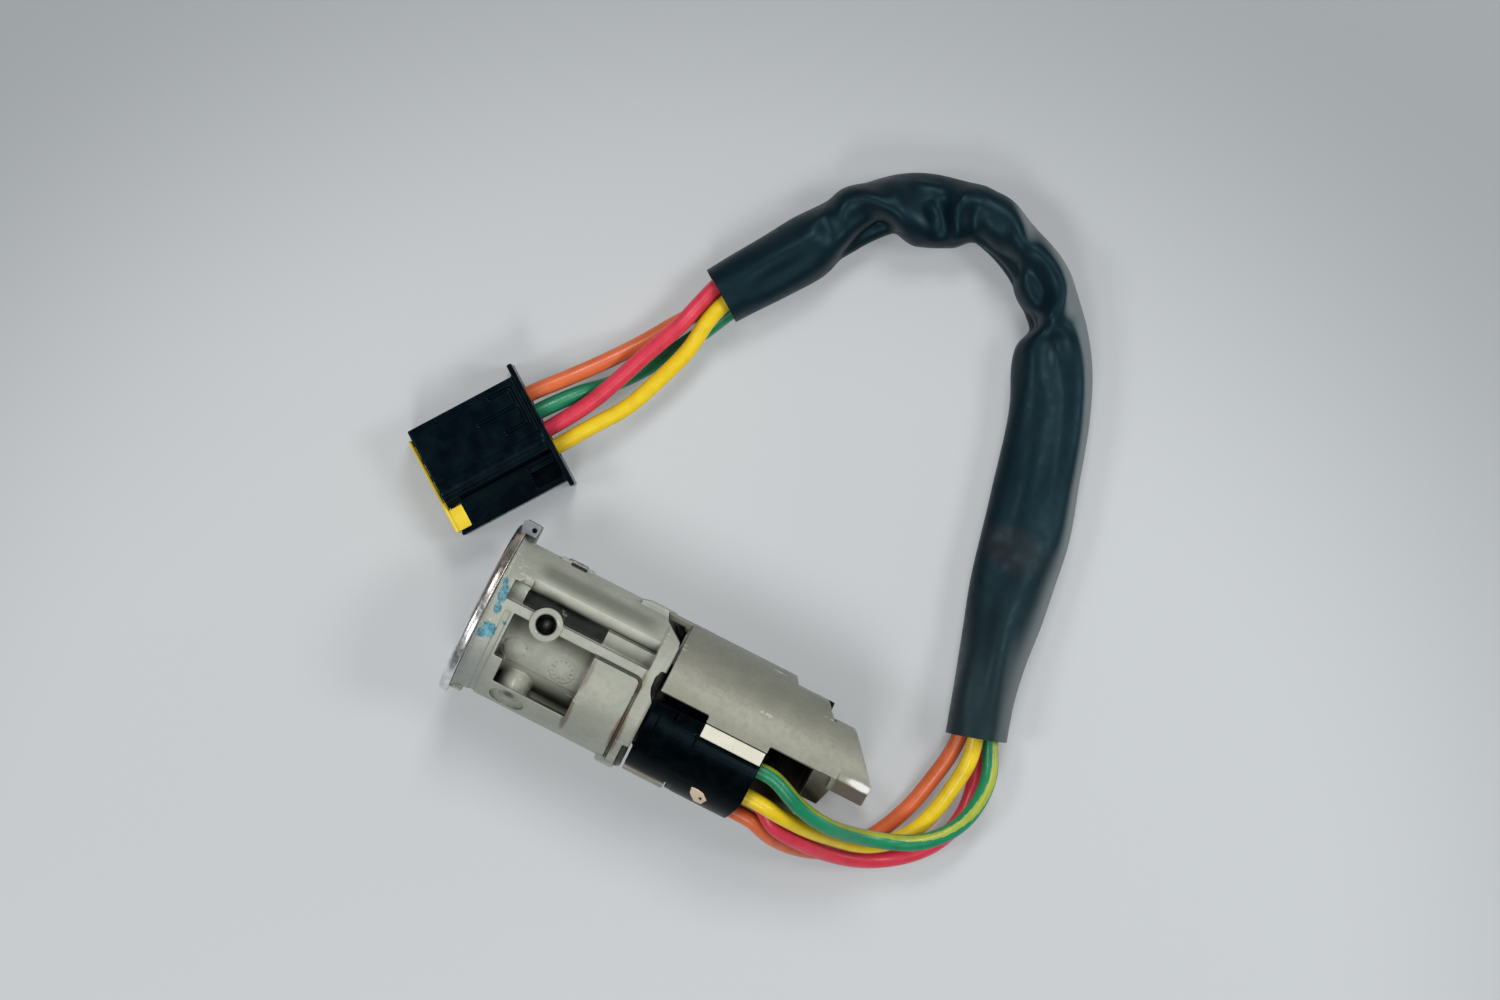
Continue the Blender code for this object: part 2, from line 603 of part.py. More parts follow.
def smooth(points, step):
    """Centripetal spline through the points, read at an even step along it."""
    p = [Vector(q) for q in points]
    p = [p[0] * 2 - p[1]] + p + [p[-1] * 2 - p[-2]]
    dense = []
    for i in range(1, len(p) - 2):
        p0, p1, p2, p3 = p[i - 1], p[i], p[i + 1], p[i + 2]
        t0 = 0.0
        t1 = t0 + max((p1 - p0).length, 1e-6) ** 0.5
        t2 = t1 + max((p2 - p1).length, 1e-6) ** 0.5
        t3 = t2 + max((p3 - p2).length, 1e-6) ** 0.5
        for k in range(24):
            t = t1 + (t2 - t1) * k / 24
            a1 = p0 * ((t1 - t) / (t1 - t0)) + p1 * ((t - t0) / (t1 - t0))
            a2 = p1 * ((t2 - t) / (t2 - t1)) + p2 * ((t - t1) / (t2 - t1))
            a3 = p2 * ((t3 - t) / (t3 - t2)) + p3 * ((t - t2) / (t3 - t2))
            b1 = a1 * ((t2 - t) / (t2 - t0)) + a2 * ((t - t0) / (t2 - t0))
            b2 = a2 * ((t3 - t) / (t3 - t1)) + a3 * ((t - t1) / (t3 - t1))
            dense.append(b1 * ((t2 - t) / (t2 - t1)) + b2 * ((t - t1) / (t2 - t1)))
    dense.append(p[-2].copy())
    # relax the dense points so that the bends are even, the ends stay
    for _ in range(60):
        q = [v.copy() for v in dense]
        for i in range(2, len(dense) - 2):
            q[i] = (dense[i - 1] + dense[i] * 2 + dense[i + 1]) / 4
        dense = q
    total = [0.0]
    for a, b in zip(dense, dense[1:]):
        total.append(total[-1] + (b - a).length)
    n = max(2, int(round(total[-1] / step)))
    out, k = [], 0
    for i in range(n + 1):
        s = total[-1] * i / n
        while k < len(total) - 2 and total[k + 1] < s:
            k += 1
        w = (s - total[k]) / max(total[k + 1] - total[k], 1e-9)
        out.append(dense[k].lerp(dense[k + 1], min(max(w, 0.0), 1.0)))
    return out, total[-1]


# centre of the sleeve, from the connector's side to the lock's side
SLEEVE_PLAN = [(721, 294.5), (775, 264), (835, 229), (885, 205), (925, 200), (962, 207), (997, 225), (1026, 252),
               (1045, 286), (1054, 326), (1055, 370), (1050, 419), (1040, 481), (1028, 538), (1016, 583),
               (1004, 626), (993, 666), (984, 700), (977, 739)]
SLEEVE_H = 8.4


def sleeve_radius(s):
    """Outer radius of the sleeve at a distance from its upper mouth."""
    if s < 12:
        return 7.4 + 0.5 * s / 12
    if s < 40:
        return 7.9 + 0.3 * (s - 12) / 28
    return 8.2


def sleeve_line():
    pts = []
    for px, py in SLEEVE_PLAN:
        x, y = plan(px, py)
        pts.append((x, y, SLEEVE_H))
    return smooth(pts, 8.8)


SL, SL_LEN = sleeve_line()


def sleeve_frame(s):
    """Centre, direction and inner-side direction at a distance from the upper mouth."""
    n = len(SL) - 1
    f = min(max(s / SL_LEN, 0.0), 1.0) * n
    k = min(int(f), n - 1)
    w = f - k
    c = SL[k].lerp(SL[k + 1], w)
    t = (SL[min(k + 2, n)] - SL[max(k - 1, 0)]).normalized()
    return c, t, Vector((t.y, -t.x, 0.0)).normalized()


MOUTH = {"green": (3.2, -2.3), "yellow": (2.5, 2.0), "red": (-2.0, 3.1), "orange": (-2.4, -1.5)}
MOUTH_TURN = 25.0
SWAPPED = {"green": (2.5, 2.0), "yellow": (3.2, -2.3), "red": (-2.0, 3.1), "orange": (-2.4, -1.5)}
EVEN = {"green": 45.0, "red": 135.0, "orange": 225.0, "yellow": 315.0}
SWAP0, SWAP1 = 10.0, 84.0


def ease(w):
    w = min(max(w, 0.0), 1.0)
    return w * w * (3 - 2 * w)


def wire_place(colour, s):
    """Place of a wire in the sleeve's section: (towards the inner side, up)."""
    w = ease((s - SWAP0) / (SWAP1 - SWAP0))
    if w < 1.0:
        bump = math.sin(math.pi * w)
        x, y = MOUTH[colour]
        if colour in ("green", "yellow"):
            # these two change places round their own middle
            gx, gy = MOUTH["green"]
            yx, yy = MOUTH["yellow"]
            mx, my = (gx + yx) / 2, (gy + yy) / 2
            dx, dy = x - mx, y - my
            c, t = math.cos(math.pi * w), math.sin(math.pi * w)
            return mx + dx * c - dy * t - 0.6 * bump, my + dx * t + dy * c - 0.3 * bump
        r = math.hypot(x, y)
        k = 1.0 + (4.95 / r - 1.0) * bump
        return x * k, y * k
    # then the whole set turns slowly to its order at the lower mouth
    q = ease((s - SWAP1) / (SL_LEN - 8.0 - SWAP1))
    rho = 3.3
    e = math.radians(EVEN[colour])
    x = SWAPPED[colour][0] * (1 - q) + rho * math.cos(e) * q
    y = SWAPPED[colour][1] * (1 - q) + rho * math.sin(e) * q
    a = math.radians(135.0 * q)
    return x * math.cos(a) - y * math.sin(a), x * math.sin(a) + y * math.cos(a) - 0.8 * q


def wire_offset(colour, s):
    """The same, with the whole set turned a little at the upper mouth."""
    x, y = wire_place(colour, s)
    a = math.radians(MOUTH_TURN * (1 - ease((s - 4.0) / 30.0)))
    return x * math.cos(a) - y * math.sin(a), x * math.sin(a) + y * math.cos(a)


# visible runs: plan grid position and height of the wire's centre over the resting plane
RUN_LOCK = {
    "green": [(797, 802, 33.0), (826, 824, 26.5), (856, 836, 17.5), (886, 843, 12.2), (914, 845, 11.3), (941, 839, 10.6),
              (966, 823, 9.6), (983, 800, 8.6), (992, 774, 7.8)],
    "yellow": [(778, 812, 29.3), (806, 828, 22.9), (836, 840, 14.6), (864, 848, 8.9), (892, 845, 7.3), (918, 832, 6.9),
               (940, 810, 7.0), (958, 784, 8.6), (971, 762, 10.2)],
    "orange": [(768, 835, 19.9), (794, 849, 11.8), (822, 855, 5.2), (850, 851, 2.4), (874, 840, 2.3), (896, 824, 2.3),
               (915, 806, 2.8), (934, 782, 4.4), (952, 757, 6.2)],
    "red": [(772, 824, 24.8), (800, 842, 19.4), (832, 857, 10.6), (864, 864, 4.9), (893, 863, 2.7), (921, 856, 2.3),
            (946, 842, 2.3), (966, 818, 2.6), (976, 790, 3.2), (979, 766, 3.9)],
}
# from the connector to the upper mouth
RUN_PLUG = {
    "orange": [(566, 377, 8.2), (602, 361, 6.4), (640, 342, 4.6), (676, 321, 4.2), (703, 307, 4.0)],
    "green": [(578, 393, 6.8), (606, 384, 3.8), (638, 370, 2.4), (670, 351, 2.6), (703, 330, 6.2)],
    "red": [(588, 403, 9.4), (616, 380, 10.4), (647, 352, 11.6), (678, 326, 12.0), (700, 302, 10.9)],
    "yellow": [(597, 426, 9.3), (626, 407, 9.5), (658, 379, 9.6), (690, 347, 9.9), (707, 320, 10.9)],
}

# ---------------------------------------------------------------- connector
CON_X, CON_Y = plan(500, 450)
CON_TURN = math.radians(55.0)
CON = frame_empty("connector_frame", (CON_X, CON_Y, 0.0), CON_TURN)
CON_PITCH = 4.75
CON_Y0 = 8.9                 # first wire across the connector
CON_H = 9.0                  # height of the wires in it
CON_ROW = {"orange": 0, "green": 1, "red": 2, "yellow": 3}


def con_point(x, y, z):
    c, s = math.cos(CON_TURN), math.sin(CON_TURN)
    return Vector((CON_X + c * x - s * y, CON_Y + s * x + c * y, z))


def make_connector():
    ob = box("connector_housing", -17.8, 11.6, -5.2, 14.4, 0.0, 16.4)
    join(ob,
         box("j", -17.8, 11.6, -13.9, -4.8, 0.0, 13.2),
         rod("j", (-17.8, -2.6, 15.1), (11.6, -2.6, 15.1), 2.6, 20),
         box("j", 10.7, 12.0, -15.6, 17.3, 0.0, 17.2))
    # end cavities, one for each contact, and one open space for the wires behind them
    for k in range(4):
        y = CON_Y0 - CON_PITCH * k
        cut(ob, box("c", -30, 4.0, y - 1.85, y + 1.85, 5.6, 12.4))
    y_hi, y_lo = CON_Y0 + 2.6, CON_Y0 - 3 * CON_PITCH - 2.6
    cut(ob, box("c", 3.4, 30, y_lo, y_hi, 6.1, 11.9))
    # notch for the secondary lock's tab, recess in the lower flank, moulded grooves on top
    cut(ob,
        box("c", -30, -14.3, -12.9, -6.6, 8.6, 30),
        box("c", 3.6, 10.2, -12.2, -8.4, 9.4, 30),
        box("c", 3.6, 10.2, -8.6, -6.9, 12.5, 30),
        box("c", 8.4, 9.3, 2.6, 12.6, 15.7, 30),
        box("c", 3.0, 9.0, 11.8, 12.6, 15.7, 30),
        box("c", -2.0, 9.0, 7.4, 8.2, 15.7, 30),
        box("c", 3.0, 9.0, 2.6, 3.4, 15.7, 30),
        box("c", -12.0, -9.0, -16, -13.3, 2.0, 6.0))
    finish(ob, BLACK, CON)
    lock = box("connector_lock", -19.1, -18.1, -12.6, 12.2, 3.0, 14.2)
    for k in range(4):
        y = CON_Y0 - CON_PITCH * k
        cut(lock, box("c", -30, 0, y - 1.65, y + 1.65, 6.0, 12.0))
    join(lock, box("j", -18.6, -14.6, -12.6, -6.9, 8.9, 13.4))
    finish(lock, YELLOW, CON, smooth=False)
    for k in range(4):
        y = CON_Y0 - CON_PITCH * k
        t = box("connector_terminal_%d" % (k + 1), -16.0, -3.0, y - 1.5, y + 1.5, 6.1, 11.9)
        cut(t, box("c", -30, -4.0, y - 1.1, y + 1.1, 6.6, 11.4))
        join(t, rod("j", (-3.6, y, CON_H), (3.0, y, CON_H), 1.35, 12))
        finish(t, BRASS, CON)


make_connector()


def wire_route(colour):
    """Points of a wire from the contact module to the connector."""
    y, z = WIRES[colour]
    lx, ly, lz = AXIS_X, AXIS_Y + y, AXIS_Z + z
    pts = [(lx + 72.7, ly, lz), (lx + 77.0, ly, lz), (lx + 81.5, ly - 0.15, lz)]
    for px, py, h in RUN_LOCK[colour]:
        x, yy = plan(px, py)
        pts.append((x, yy, h))
    s = SL_LEN - 2.0
    while s > 3.0:
        c, t, inner = sleeve_frame(s)
        a, b = wire_offset(colour, s)
        v = c + inner * a
        pts.append((v.x, v.y, c.z + b))
        s -= 9.0
    for px, py, h in reversed(RUN_PLUG[colour]):
        x, yy = plan(px, py)
        pts.append((x, yy, h))
    cy = CON_Y0 - CON_PITCH * CON_ROW[colour]
    for cx in (19.5, 15.5, 11.0, 7.0, 3.8):
        v = con_point(cx, cy, CON_H)
        pts.append((v.x, v.y, v.z))
    return pts


def tube(name, points, radius, mat):
    cu = bpy.data.curves.new(name, "CURVE")
    cu.dimensions = "3D"
    cu.bevel_depth = radius * MM
    cu.bevel_resolution = 2
    cu.use_fill_caps = True
    sp = cu.splines.new("POLY")
    sp.points.add(len(points) - 1)
    for i, p in enumerate(points):
        sp.points[i].co = (p[0] * MM, p[1] * MM, p[2] * MM, 1.0)
    ob = bpy.data.objects.new(name, cu)
    bpy_col.objects.link(ob)
    cu.materials.append(mat)
    return ob


for colour in ("orange", "red", "yellow", "green"):
    pts, length = smooth(wire_route(colour), 8.8)
    tube("wire_" + colour, pts, WIRE_D / 2, WIRE_MATS[colour])


def make_cable_sleeve(n=12, wall=0.8):
    """A tube with open ends: outer skin, inner skin and two end rings."""
    verts, faces = [], []
    m = len(SL)
    for side in (0, 1):
        for i, c in enumerate(SL):
            s = SL_LEN * i / (m - 1)
            t = (SL[min(i + 1, m - 1)] - SL[max(i - 1, 0)]).normalized()
            inner = Vector((t.y, -t.x, 0)).normalized()
            r = sleeve_radius(s) - wall * side
            for k in range(n):
                a = 2 * math.pi * (k + 0.5) / n
                v = c + inner * (r * math.cos(a)) + Vector((0, 0, 1)) * (r * math.sin(a))
                verts.append(tuple(v))
    off = m * n
    for i in range(m - 1):
        for k in range(n):
            j = (k + 1) % n
            faces.append((i * n + k, i * n + j, (i + 1) * n + j, (i + 1) * n + k))
            faces.append((off + i * n + k, off + (i + 1) * n + k, off + (i + 1) * n + j, off + i * n + j))
    for i, flip in ((0, False), (m - 1, True)):
        for k in range(n):
            j = (k + 1) % n
            q = (i * n + k, off + i * n + k, off + i * n + j, i * n + j)
            faces.append(q if not flip else q[::-1])
    return finish(new_object("cable_sleeve", verts, faces), SLEEVE_MAT, None, clean=False)


make_cable_sleeve()
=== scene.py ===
"""Looks of an ignition switch: cast lock, contact module, four wires in a sleeve, connector.

Lengths in the building functions are millimetres; meshes are written in metres in the row frame.
"""

import json
import math

import bpy
import bmesh
import numpy as np
from mathutils import Matrix, Vector


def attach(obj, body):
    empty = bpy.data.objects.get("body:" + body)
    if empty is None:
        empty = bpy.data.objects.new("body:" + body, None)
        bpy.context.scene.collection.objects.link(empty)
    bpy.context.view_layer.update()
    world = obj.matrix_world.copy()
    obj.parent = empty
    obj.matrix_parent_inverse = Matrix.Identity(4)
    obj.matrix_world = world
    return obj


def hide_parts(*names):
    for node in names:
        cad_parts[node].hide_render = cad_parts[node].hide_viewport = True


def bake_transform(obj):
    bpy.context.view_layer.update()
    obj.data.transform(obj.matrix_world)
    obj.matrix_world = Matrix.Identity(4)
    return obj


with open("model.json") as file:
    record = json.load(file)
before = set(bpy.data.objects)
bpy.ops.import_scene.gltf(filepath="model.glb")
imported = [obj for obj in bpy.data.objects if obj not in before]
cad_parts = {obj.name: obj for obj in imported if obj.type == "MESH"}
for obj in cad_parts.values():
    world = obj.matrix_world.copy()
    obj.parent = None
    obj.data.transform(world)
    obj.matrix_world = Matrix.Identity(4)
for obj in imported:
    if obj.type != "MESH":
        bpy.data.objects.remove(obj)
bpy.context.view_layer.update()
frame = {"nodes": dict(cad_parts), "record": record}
scene = bpy.context.scene

MM = 0.001
LOCK_LENGTH = 102.5
AXIS_X, AXIS_Y, AXIS_Z = -LOCK_LENGTH / 2, -0.70, 22.1
TO_ROW = Matrix.Translation((AXIS_X * MM, AXIS_Y * MM, AXIS_Z * MM))
GRID = 0.24
TURN = math.radians(27.0)
WIRE_D = 4.0
CON_TURN = math.radians(55.0)
CON_PITCH = 4.75
CON_Y0 = 8.9
CON_H = 9.0
CON_ROW = {"orange": 0, "green": 1, "red": 2, "yellow": 3}
SLEEVE_H = 8.4


def plan(px, py):
    u = (px - 590) * math.cos(TURN) + (py - 625) * math.sin(TURN)
    v = -(px - 590) * math.sin(TURN) + (py - 625) * math.cos(TURN)
    return GRID * (u - 106.5), -GRID * (v - 31.5) + AXIS_Y


CON_X, CON_Y = plan(500, 450)
CON_ROWS = Matrix.Translation((CON_X * MM, CON_Y * MM, 0)) @ Matrix.Rotation(CON_TURN, 4, "Z")

# ---------------------------------------------------------------- camera
cam_data = bpy.data.cameras.new("camera")
cam_data.sensor_width = 36.0
cam_data.lens = 120.0
cam_data.clip_start, cam_data.clip_end = 0.05, 20.0
cam = bpy.data.objects.new("camera", cam_data)
cam.location = (-0.0050, 0.0510, 1.2 + 0.018)
cam.rotation_euler = (0.0, 0.0, TURN)
scene.collection.objects.link(cam)
scene.camera = cam


# ---------------------------------------------------------------- shader helpers
def shader(name):
    m = bpy.data.materials.new(name)
    m.use_nodes = True
    nt = m.node_tree
    return m, nt, nt.nodes["Principled BSDF"]


def node(nt, kind, **kw):
    n = nt.nodes.new(kind)
    for k, v in kw.items():
        setattr(n, k, v)
    return n


def coords(nt):
    for n in nt.nodes:
        if n.bl_idname == "ShaderNodeTexCoord":
            return n.outputs["Object"]
    return node(nt, "ShaderNodeTexCoord").outputs["Object"]


def put(nt, socket, value):
    if hasattr(value, "node"):
        nt.links.new(value, socket)
    elif value is not None:
        socket.default_value = value


def noise_tex(nt, scale, detail=3.0, rough=0.55, distort=0.0, stretch=None, vector=None):
    vec = vector if vector is not None else coords(nt)
    if stretch is not None:
        mp = node(nt, "ShaderNodeMapping")
        mp.inputs["Scale"].default_value = stretch
        nt.links.new(vec, mp.inputs["Vector"])
        vec = mp.outputs["Vector"]
    n = node(nt, "ShaderNodeTexNoise")
    n.inputs["Scale"].default_value = scale
    n.inputs["Detail"].default_value = detail
    n.inputs["Roughness"].default_value = rough
    n.inputs["Distortion"].default_value = distort
    nt.links.new(vec, n.inputs["Vector"])
    return n.outputs["Fac"]


def span(nt, fac, lo, hi, to_lo=0.0, to_hi=1.0, smooth=True):
    n = node(nt, "ShaderNodeMapRange")
    n.interpolation_type = "SMOOTHSTEP" if smooth else "LINEAR"
    n.inputs["From Min"].default_value = lo
    n.inputs["From Max"].default_value = hi
    n.inputs["To Min"].default_value = to_lo
    n.inputs["To Max"].default_value = to_hi
    nt.links.new(fac, n.inputs["Value"])
    return n.outputs["Result"]


def calc(nt, op, a, b=None, c=None):
    n = node(nt, "ShaderNodeMath", operation=op)
    n.use_clamp = False
    put(nt, n.inputs[0], a)
    put(nt, n.inputs[1], b)
    if c is not None:
        put(nt, n.inputs[2], c)
    return n.outputs[0]


def vcalc(nt, op, a, b=None):
    n = node(nt, "ShaderNodeVectorMath", operation=op)
    put(nt, n.inputs[0], a)
    put(nt, n.inputs[1], b)
    return n.outputs["Value"] if op in ("LENGTH", "DOT_PRODUCT", "DISTANCE") else n.outputs["Vector"]


def mix(nt, fac, a, b, mode="MIX"):
    n = node(nt, "ShaderNodeMix", data_type="RGBA", blend_type=mode)
    n.clamp_factor = True
    put(nt, n.inputs[0], fac)
    put(nt, n.inputs[6], a if hasattr(a, "node") else (*a, 1.0))
    put(nt, n.inputs[7], b if hasattr(b, "node") else (*b, 1.0))
    return n.outputs[2]


def add_bump(nt, bsdf, height, strength, distance, below=None):
    n = node(nt, "ShaderNodeBump")
    n.inputs["Strength"].default_value = strength
    n.inputs["Distance"].default_value = distance
    nt.links.new(height, n.inputs["Height"])
    if below is not None:
        nt.links.new(below, n.inputs["Normal"])
    nt.links.new(n.outputs["Normal"], bsdf.inputs["Normal"])
    return n.outputs["Normal"]


def pointiness(nt):
    return node(nt, "ShaderNodeNewGeometry").outputs["Pointiness"]


def blob(nt, centre, size, edge=0.25, ragged=0.35, scale=900.0):
    """1 inside an ellipsoid of the row frame (metres), with a ragged edge."""
    d = vcalc(nt, "LENGTH", vcalc(nt, "DIVIDE", vcalc(nt, "SUBTRACT", coords(nt), centre), size))
    n = noise_tex(nt, scale, 4.0, 0.6)
    d = calc(nt, "ADD", d, calc(nt, "MULTIPLY", calc(nt, "SUBTRACT", n, 0.5), ragged * 2))
    return span(nt, d, 1.0 - edge, 1.0 + edge, 1.0, 0.0)


def lock_point(x, y, z):
    return ((AXIS_X + x) * MM, (AXIS_Y + y) * MM, (AXIS_Z + z) * MM)


def zinc_material(name, base, light, rough, front):
    m, nt, b = shader(name)
    big = noise_tex(nt, 130.0, 4.0, 0.6)
    mid = noise_tex(nt, 700.0, 4.0, 0.6)
    fine = noise_tex(nt, 5200.0, 2.0, 0.6)
    col = mix(nt, span(nt, big, 0.30, 0.70), base, light)
    col = mix(nt, span(nt, mid, 0.45, 0.75, 0.0, 0.35), col, tuple(c * 0.80 for c in base))
    col = mix(nt, span(nt, fine, 0.60, 0.78, 0.0, 0.30), col, tuple(min(1, c * 1.30) for c in light))
    # flow lines of the casting, along the lock
    flow = noise_tex(nt, 420.0, 3.0, 0.5, stretch=(0.15, 1.0, 1.0))
    col = mix(nt, span(nt, flow, 0.52, 0.78, 0.0, 0.25), col, tuple(c * 0.86 for c in base))
    # painted shade: darker where ambient occlusion finds the surface shut in
    ao = node(nt, "ShaderNodeAmbientOcclusion")
    ao.samples = 6
    ao.inputs["Distance"].default_value = 0.010
    shut = span(nt, ao.outputs["AO"], 0.10, 0.85, 1.0, 0.0)
    col = mix(nt, calc(nt, "MULTIPLY", shut, 0.85), col, (0.020, 0.024, 0.018))
    if front:
        # brown stain in the groove round the smooth band and under the step
        for c, s, k in (((43.1, -12.0, 14.5), (1.1, 7.0, 8.0), 0.75), ((30.6, -12.5, 12.0), (0.8, 5.5, 6.0), 0.65),
                        ((30.8, -2.0, 18.0), (0.9, 4.0, 3.0), 0.45), ((43.1, 1.0, 18.6), (0.9, 3.0, 2.0), 0.4)):
            col = mix(nt, calc(nt, "MULTIPLY", blob(nt, lock_point(*c), tuple(v * MM for v in s), 0.35, 0.3), k), col,
                      (0.115, 0.062, 0.026))
        # painted shade: the deep window in the recess is filled with near-black
        window_shade = blob(nt, lock_point(19.5, 7.2, 10.5), (12.5 * MM, 3.4 * MM, 3.6 * MM), 0.25, 0.12, 400.0)
        col = mix(nt, calc(nt, "MULTIPLY", window_shade, 0.93), col, (0.006, 0.009, 0.008))
        # painted shade in the valley over the half-round bar, and a painted highlight along its back
        across = vcalc(nt, "DOT_PRODUCT", coords(nt), (0.0, 1.0, 0.0))
        run = calc(nt, "MULTIPLY",
                   span(nt, vcalc(nt, "DOT_PRODUCT", coords(nt), (1.0, 0.0, 0.0)), (AXIS_X + 8.0) * MM, (AXIS_X + 13.0) * MM),
                   span(nt, vcalc(nt, "DOT_PRODUCT", coords(nt), (1.0, 0.0, 0.0)), (AXIS_X + 43.0) * MM,
                        (AXIS_X + 37.0) * MM))
        run = calc(nt, "MULTIPLY", run, span(nt, vcalc(nt, "DOT_PRODUCT", coords(nt), (0.0, 0.0, 1.0)),
                                             (AXIS_Z + 8.0) * MM, (AXIS_Z + 11.0) * MM))
        valley_shade = calc(nt, "MULTIPLY", span(nt, across, (AXIS_Y + 12.3) * MM, (AXIS_Y + 14.6) * MM),
                    span(nt, across, (AXIS_Y + 18.6) * MM, (AXIS_Y + 15.2) * MM))
        col = mix(nt, calc(nt, "MULTIPLY", calc(nt, "MULTIPLY", valley_shade, run), 0.62), col, (0.110, 0.122, 0.104))
        bar_highlight = calc(nt, "MULTIPLY", span(nt, across, (AXIS_Y + 8.9) * MM, (AXIS_Y + 10.8) * MM),
                    span(nt, across, (AXIS_Y + 13.4) * MM, (AXIS_Y + 11.6) * MM))
        col = mix(nt, calc(nt, "MULTIPLY", calc(nt, "MULTIPLY", bar_highlight, run), 0.55), col, (0.560, 0.570, 0.500))
        # cooler tint low on the band behind the face ring
        tint = blob(nt, lock_point(3.5, -14.0, 13.0), (5.5 * MM, 9.0 * MM, 9.0 * MM), 0.5, 0.2, 300.0)
        col = mix(nt, calc(nt, "MULTIPLY", tint, 0.35), col, (0.23, 0.27, 0.33))
        # painted shade: the lug is darkened to a bluish grey
        lug_shade = blob(nt, lock_point(3.0, 22.6, 2.0), (4.0 * MM, 3.4 * MM, 7.0 * MM), 0.35, 0.2, 400.0)
        col = mix(nt, calc(nt, "MULTIPLY", lug_shade, 0.78), col, (0.150, 0.162, 0.205))
        # painted shade: near-black painted where the two castings part
        split_shade = blob(nt, lock_point(47.4, 3.0, 15.5), (1.5 * MM, 6.0 * MM, 3.2 * MM), 0.2, 0.1, 500.0)
        col = mix(nt, calc(nt, "MULTIPLY", split_shade, 0.95), col, (0.004, 0.005, 0.005))
        # painted shade: the screw hole is darkened inside
        hole_shade = blob(nt, lock_point(16.1, -13.2, 6.7), (2.7 * MM, 2.9 * MM, 2.7 * MM), 0.18, 0.1, 600.0)
        col = mix(nt, calc(nt, "MULTIPLY", hole_shade, 0.9), col, (0.026, 0.028, 0.014))
        # blue paint marks on the band
        paint = None
        for c, s in (((4.6, 5.6, 18.2), (1.25, 2.7, 2.2)), ((4.9, 2.0, 19.0), (0.9, 1.4, 1.5)),
                     ((5.2, -3.3, 18.9), (1.9, 1.9, 2.0)), ((4.1, -4.6, 18.6), (1.2, 1.3, 1.6)),
                     ((7.9, -0.4, 19.0), (0.55, 0.5, 0.9)), ((8.3, 5.9, 18.2), (0.4, 0.45, 0.8)),
                     ((3.6, 8.4, 17.2), (0.8, 1.1, 1.2))):
            p = blob(nt, lock_point(*c), tuple(v * MM for v in s), 0.12, 0.55, 1100.0)
            paint = p if paint is None else calc(nt, "MAXIMUM", paint, p)
        thin = noise_tex(nt, 1500.0, 3.0, 0.6)
        paint = calc(nt, "MULTIPLY", paint, span(nt, thin, 0.30, 0.52, 0.35, 0.95))
        col = mix(nt, paint, col, mix(nt, span(nt, mid, 0.4, 0.65), (0.018, 0.145, 0.215), (0.075, 0.33, 0.40)))
    if not front:
        # painted shadow inside the shell, brown tint on the tip's end block, a painted highlight on the lip over it
        off = vcalc(nt, "MULTIPLY", vcalc(nt, "SUBTRACT", coords(nt), lock_point(0, 0, 0)), (0.0, 1.0, 1.0))
        inside = calc(nt, "MULTIPLY", span(nt, vcalc(nt, "LENGTH", off), 0.0155, 0.0166, 1.0, 0.0),
                      span(nt, vcalc(nt, "DOT_PRODUCT", coords(nt), (1.0, 0.0, 0.0)), (AXIS_X + 88.6) * MM,
                           (AXIS_X + 86.8) * MM))
        col = mix(nt, calc(nt, "MULTIPLY", inside, 0.93), col, (0.006, 0.006, 0.005))
        # painted shade: the deep cavity under the shell is darkened
        cavity_shade = blob(nt, lock_point(90.5, -5.0, 8.0), (5.5 * MM, 6.0 * MM, 15.0 * MM), 0.5, 0.2, 300.0)
        col = mix(nt, calc(nt, "MULTIPLY", cavity_shade, 0.72), col, (0.030, 0.027, 0.020))
        end = span(nt, vcalc(nt, "DOT_PRODUCT", coords(nt), (1.0, 0.0, 0.0)), (AXIS_X + 93.6) * MM, (AXIS_X + 94.6) * MM)
        tip = calc(nt, "MULTIPLY", end, span(nt, vcalc(nt, "DOT_PRODUCT", coords(nt), (0.0, 1.0, 0.0)),
                                             (AXIS_Y + 2.9) * MM, (AXIS_Y + 2.2) * MM))
        col = mix(nt, calc(nt, "MULTIPLY", tip, 0.86), col, (0.120, 0.088, 0.066))
        # painted highlight: a near-white strip painted along the lip
        lip = blob(nt, lock_point(100.2, 3.3, 18.2), (3.4 * MM, 0.9 * MM, 4.0 * MM), 0.4, 0.3, 600.0)
        col = mix(nt, calc(nt, "MULTIPLY", lip, 0.85), col, (0.86, 0.85, 0.82))
        # painted shade: the upper side of the shell is darkened, as if it gets less light
        upper_side_shade = span(nt, vcalc(nt, "DOT_PRODUCT", coords(nt), (0.0, 1.0, 0.0)), (AXIS_Y + 7.0) * MM, (AXIS_Y + 17.5) * MM)
        col = mix(nt, calc(nt, "MULTIPLY", upper_side_shade, 0.42), col, (0.125, 0.130, 0.110))
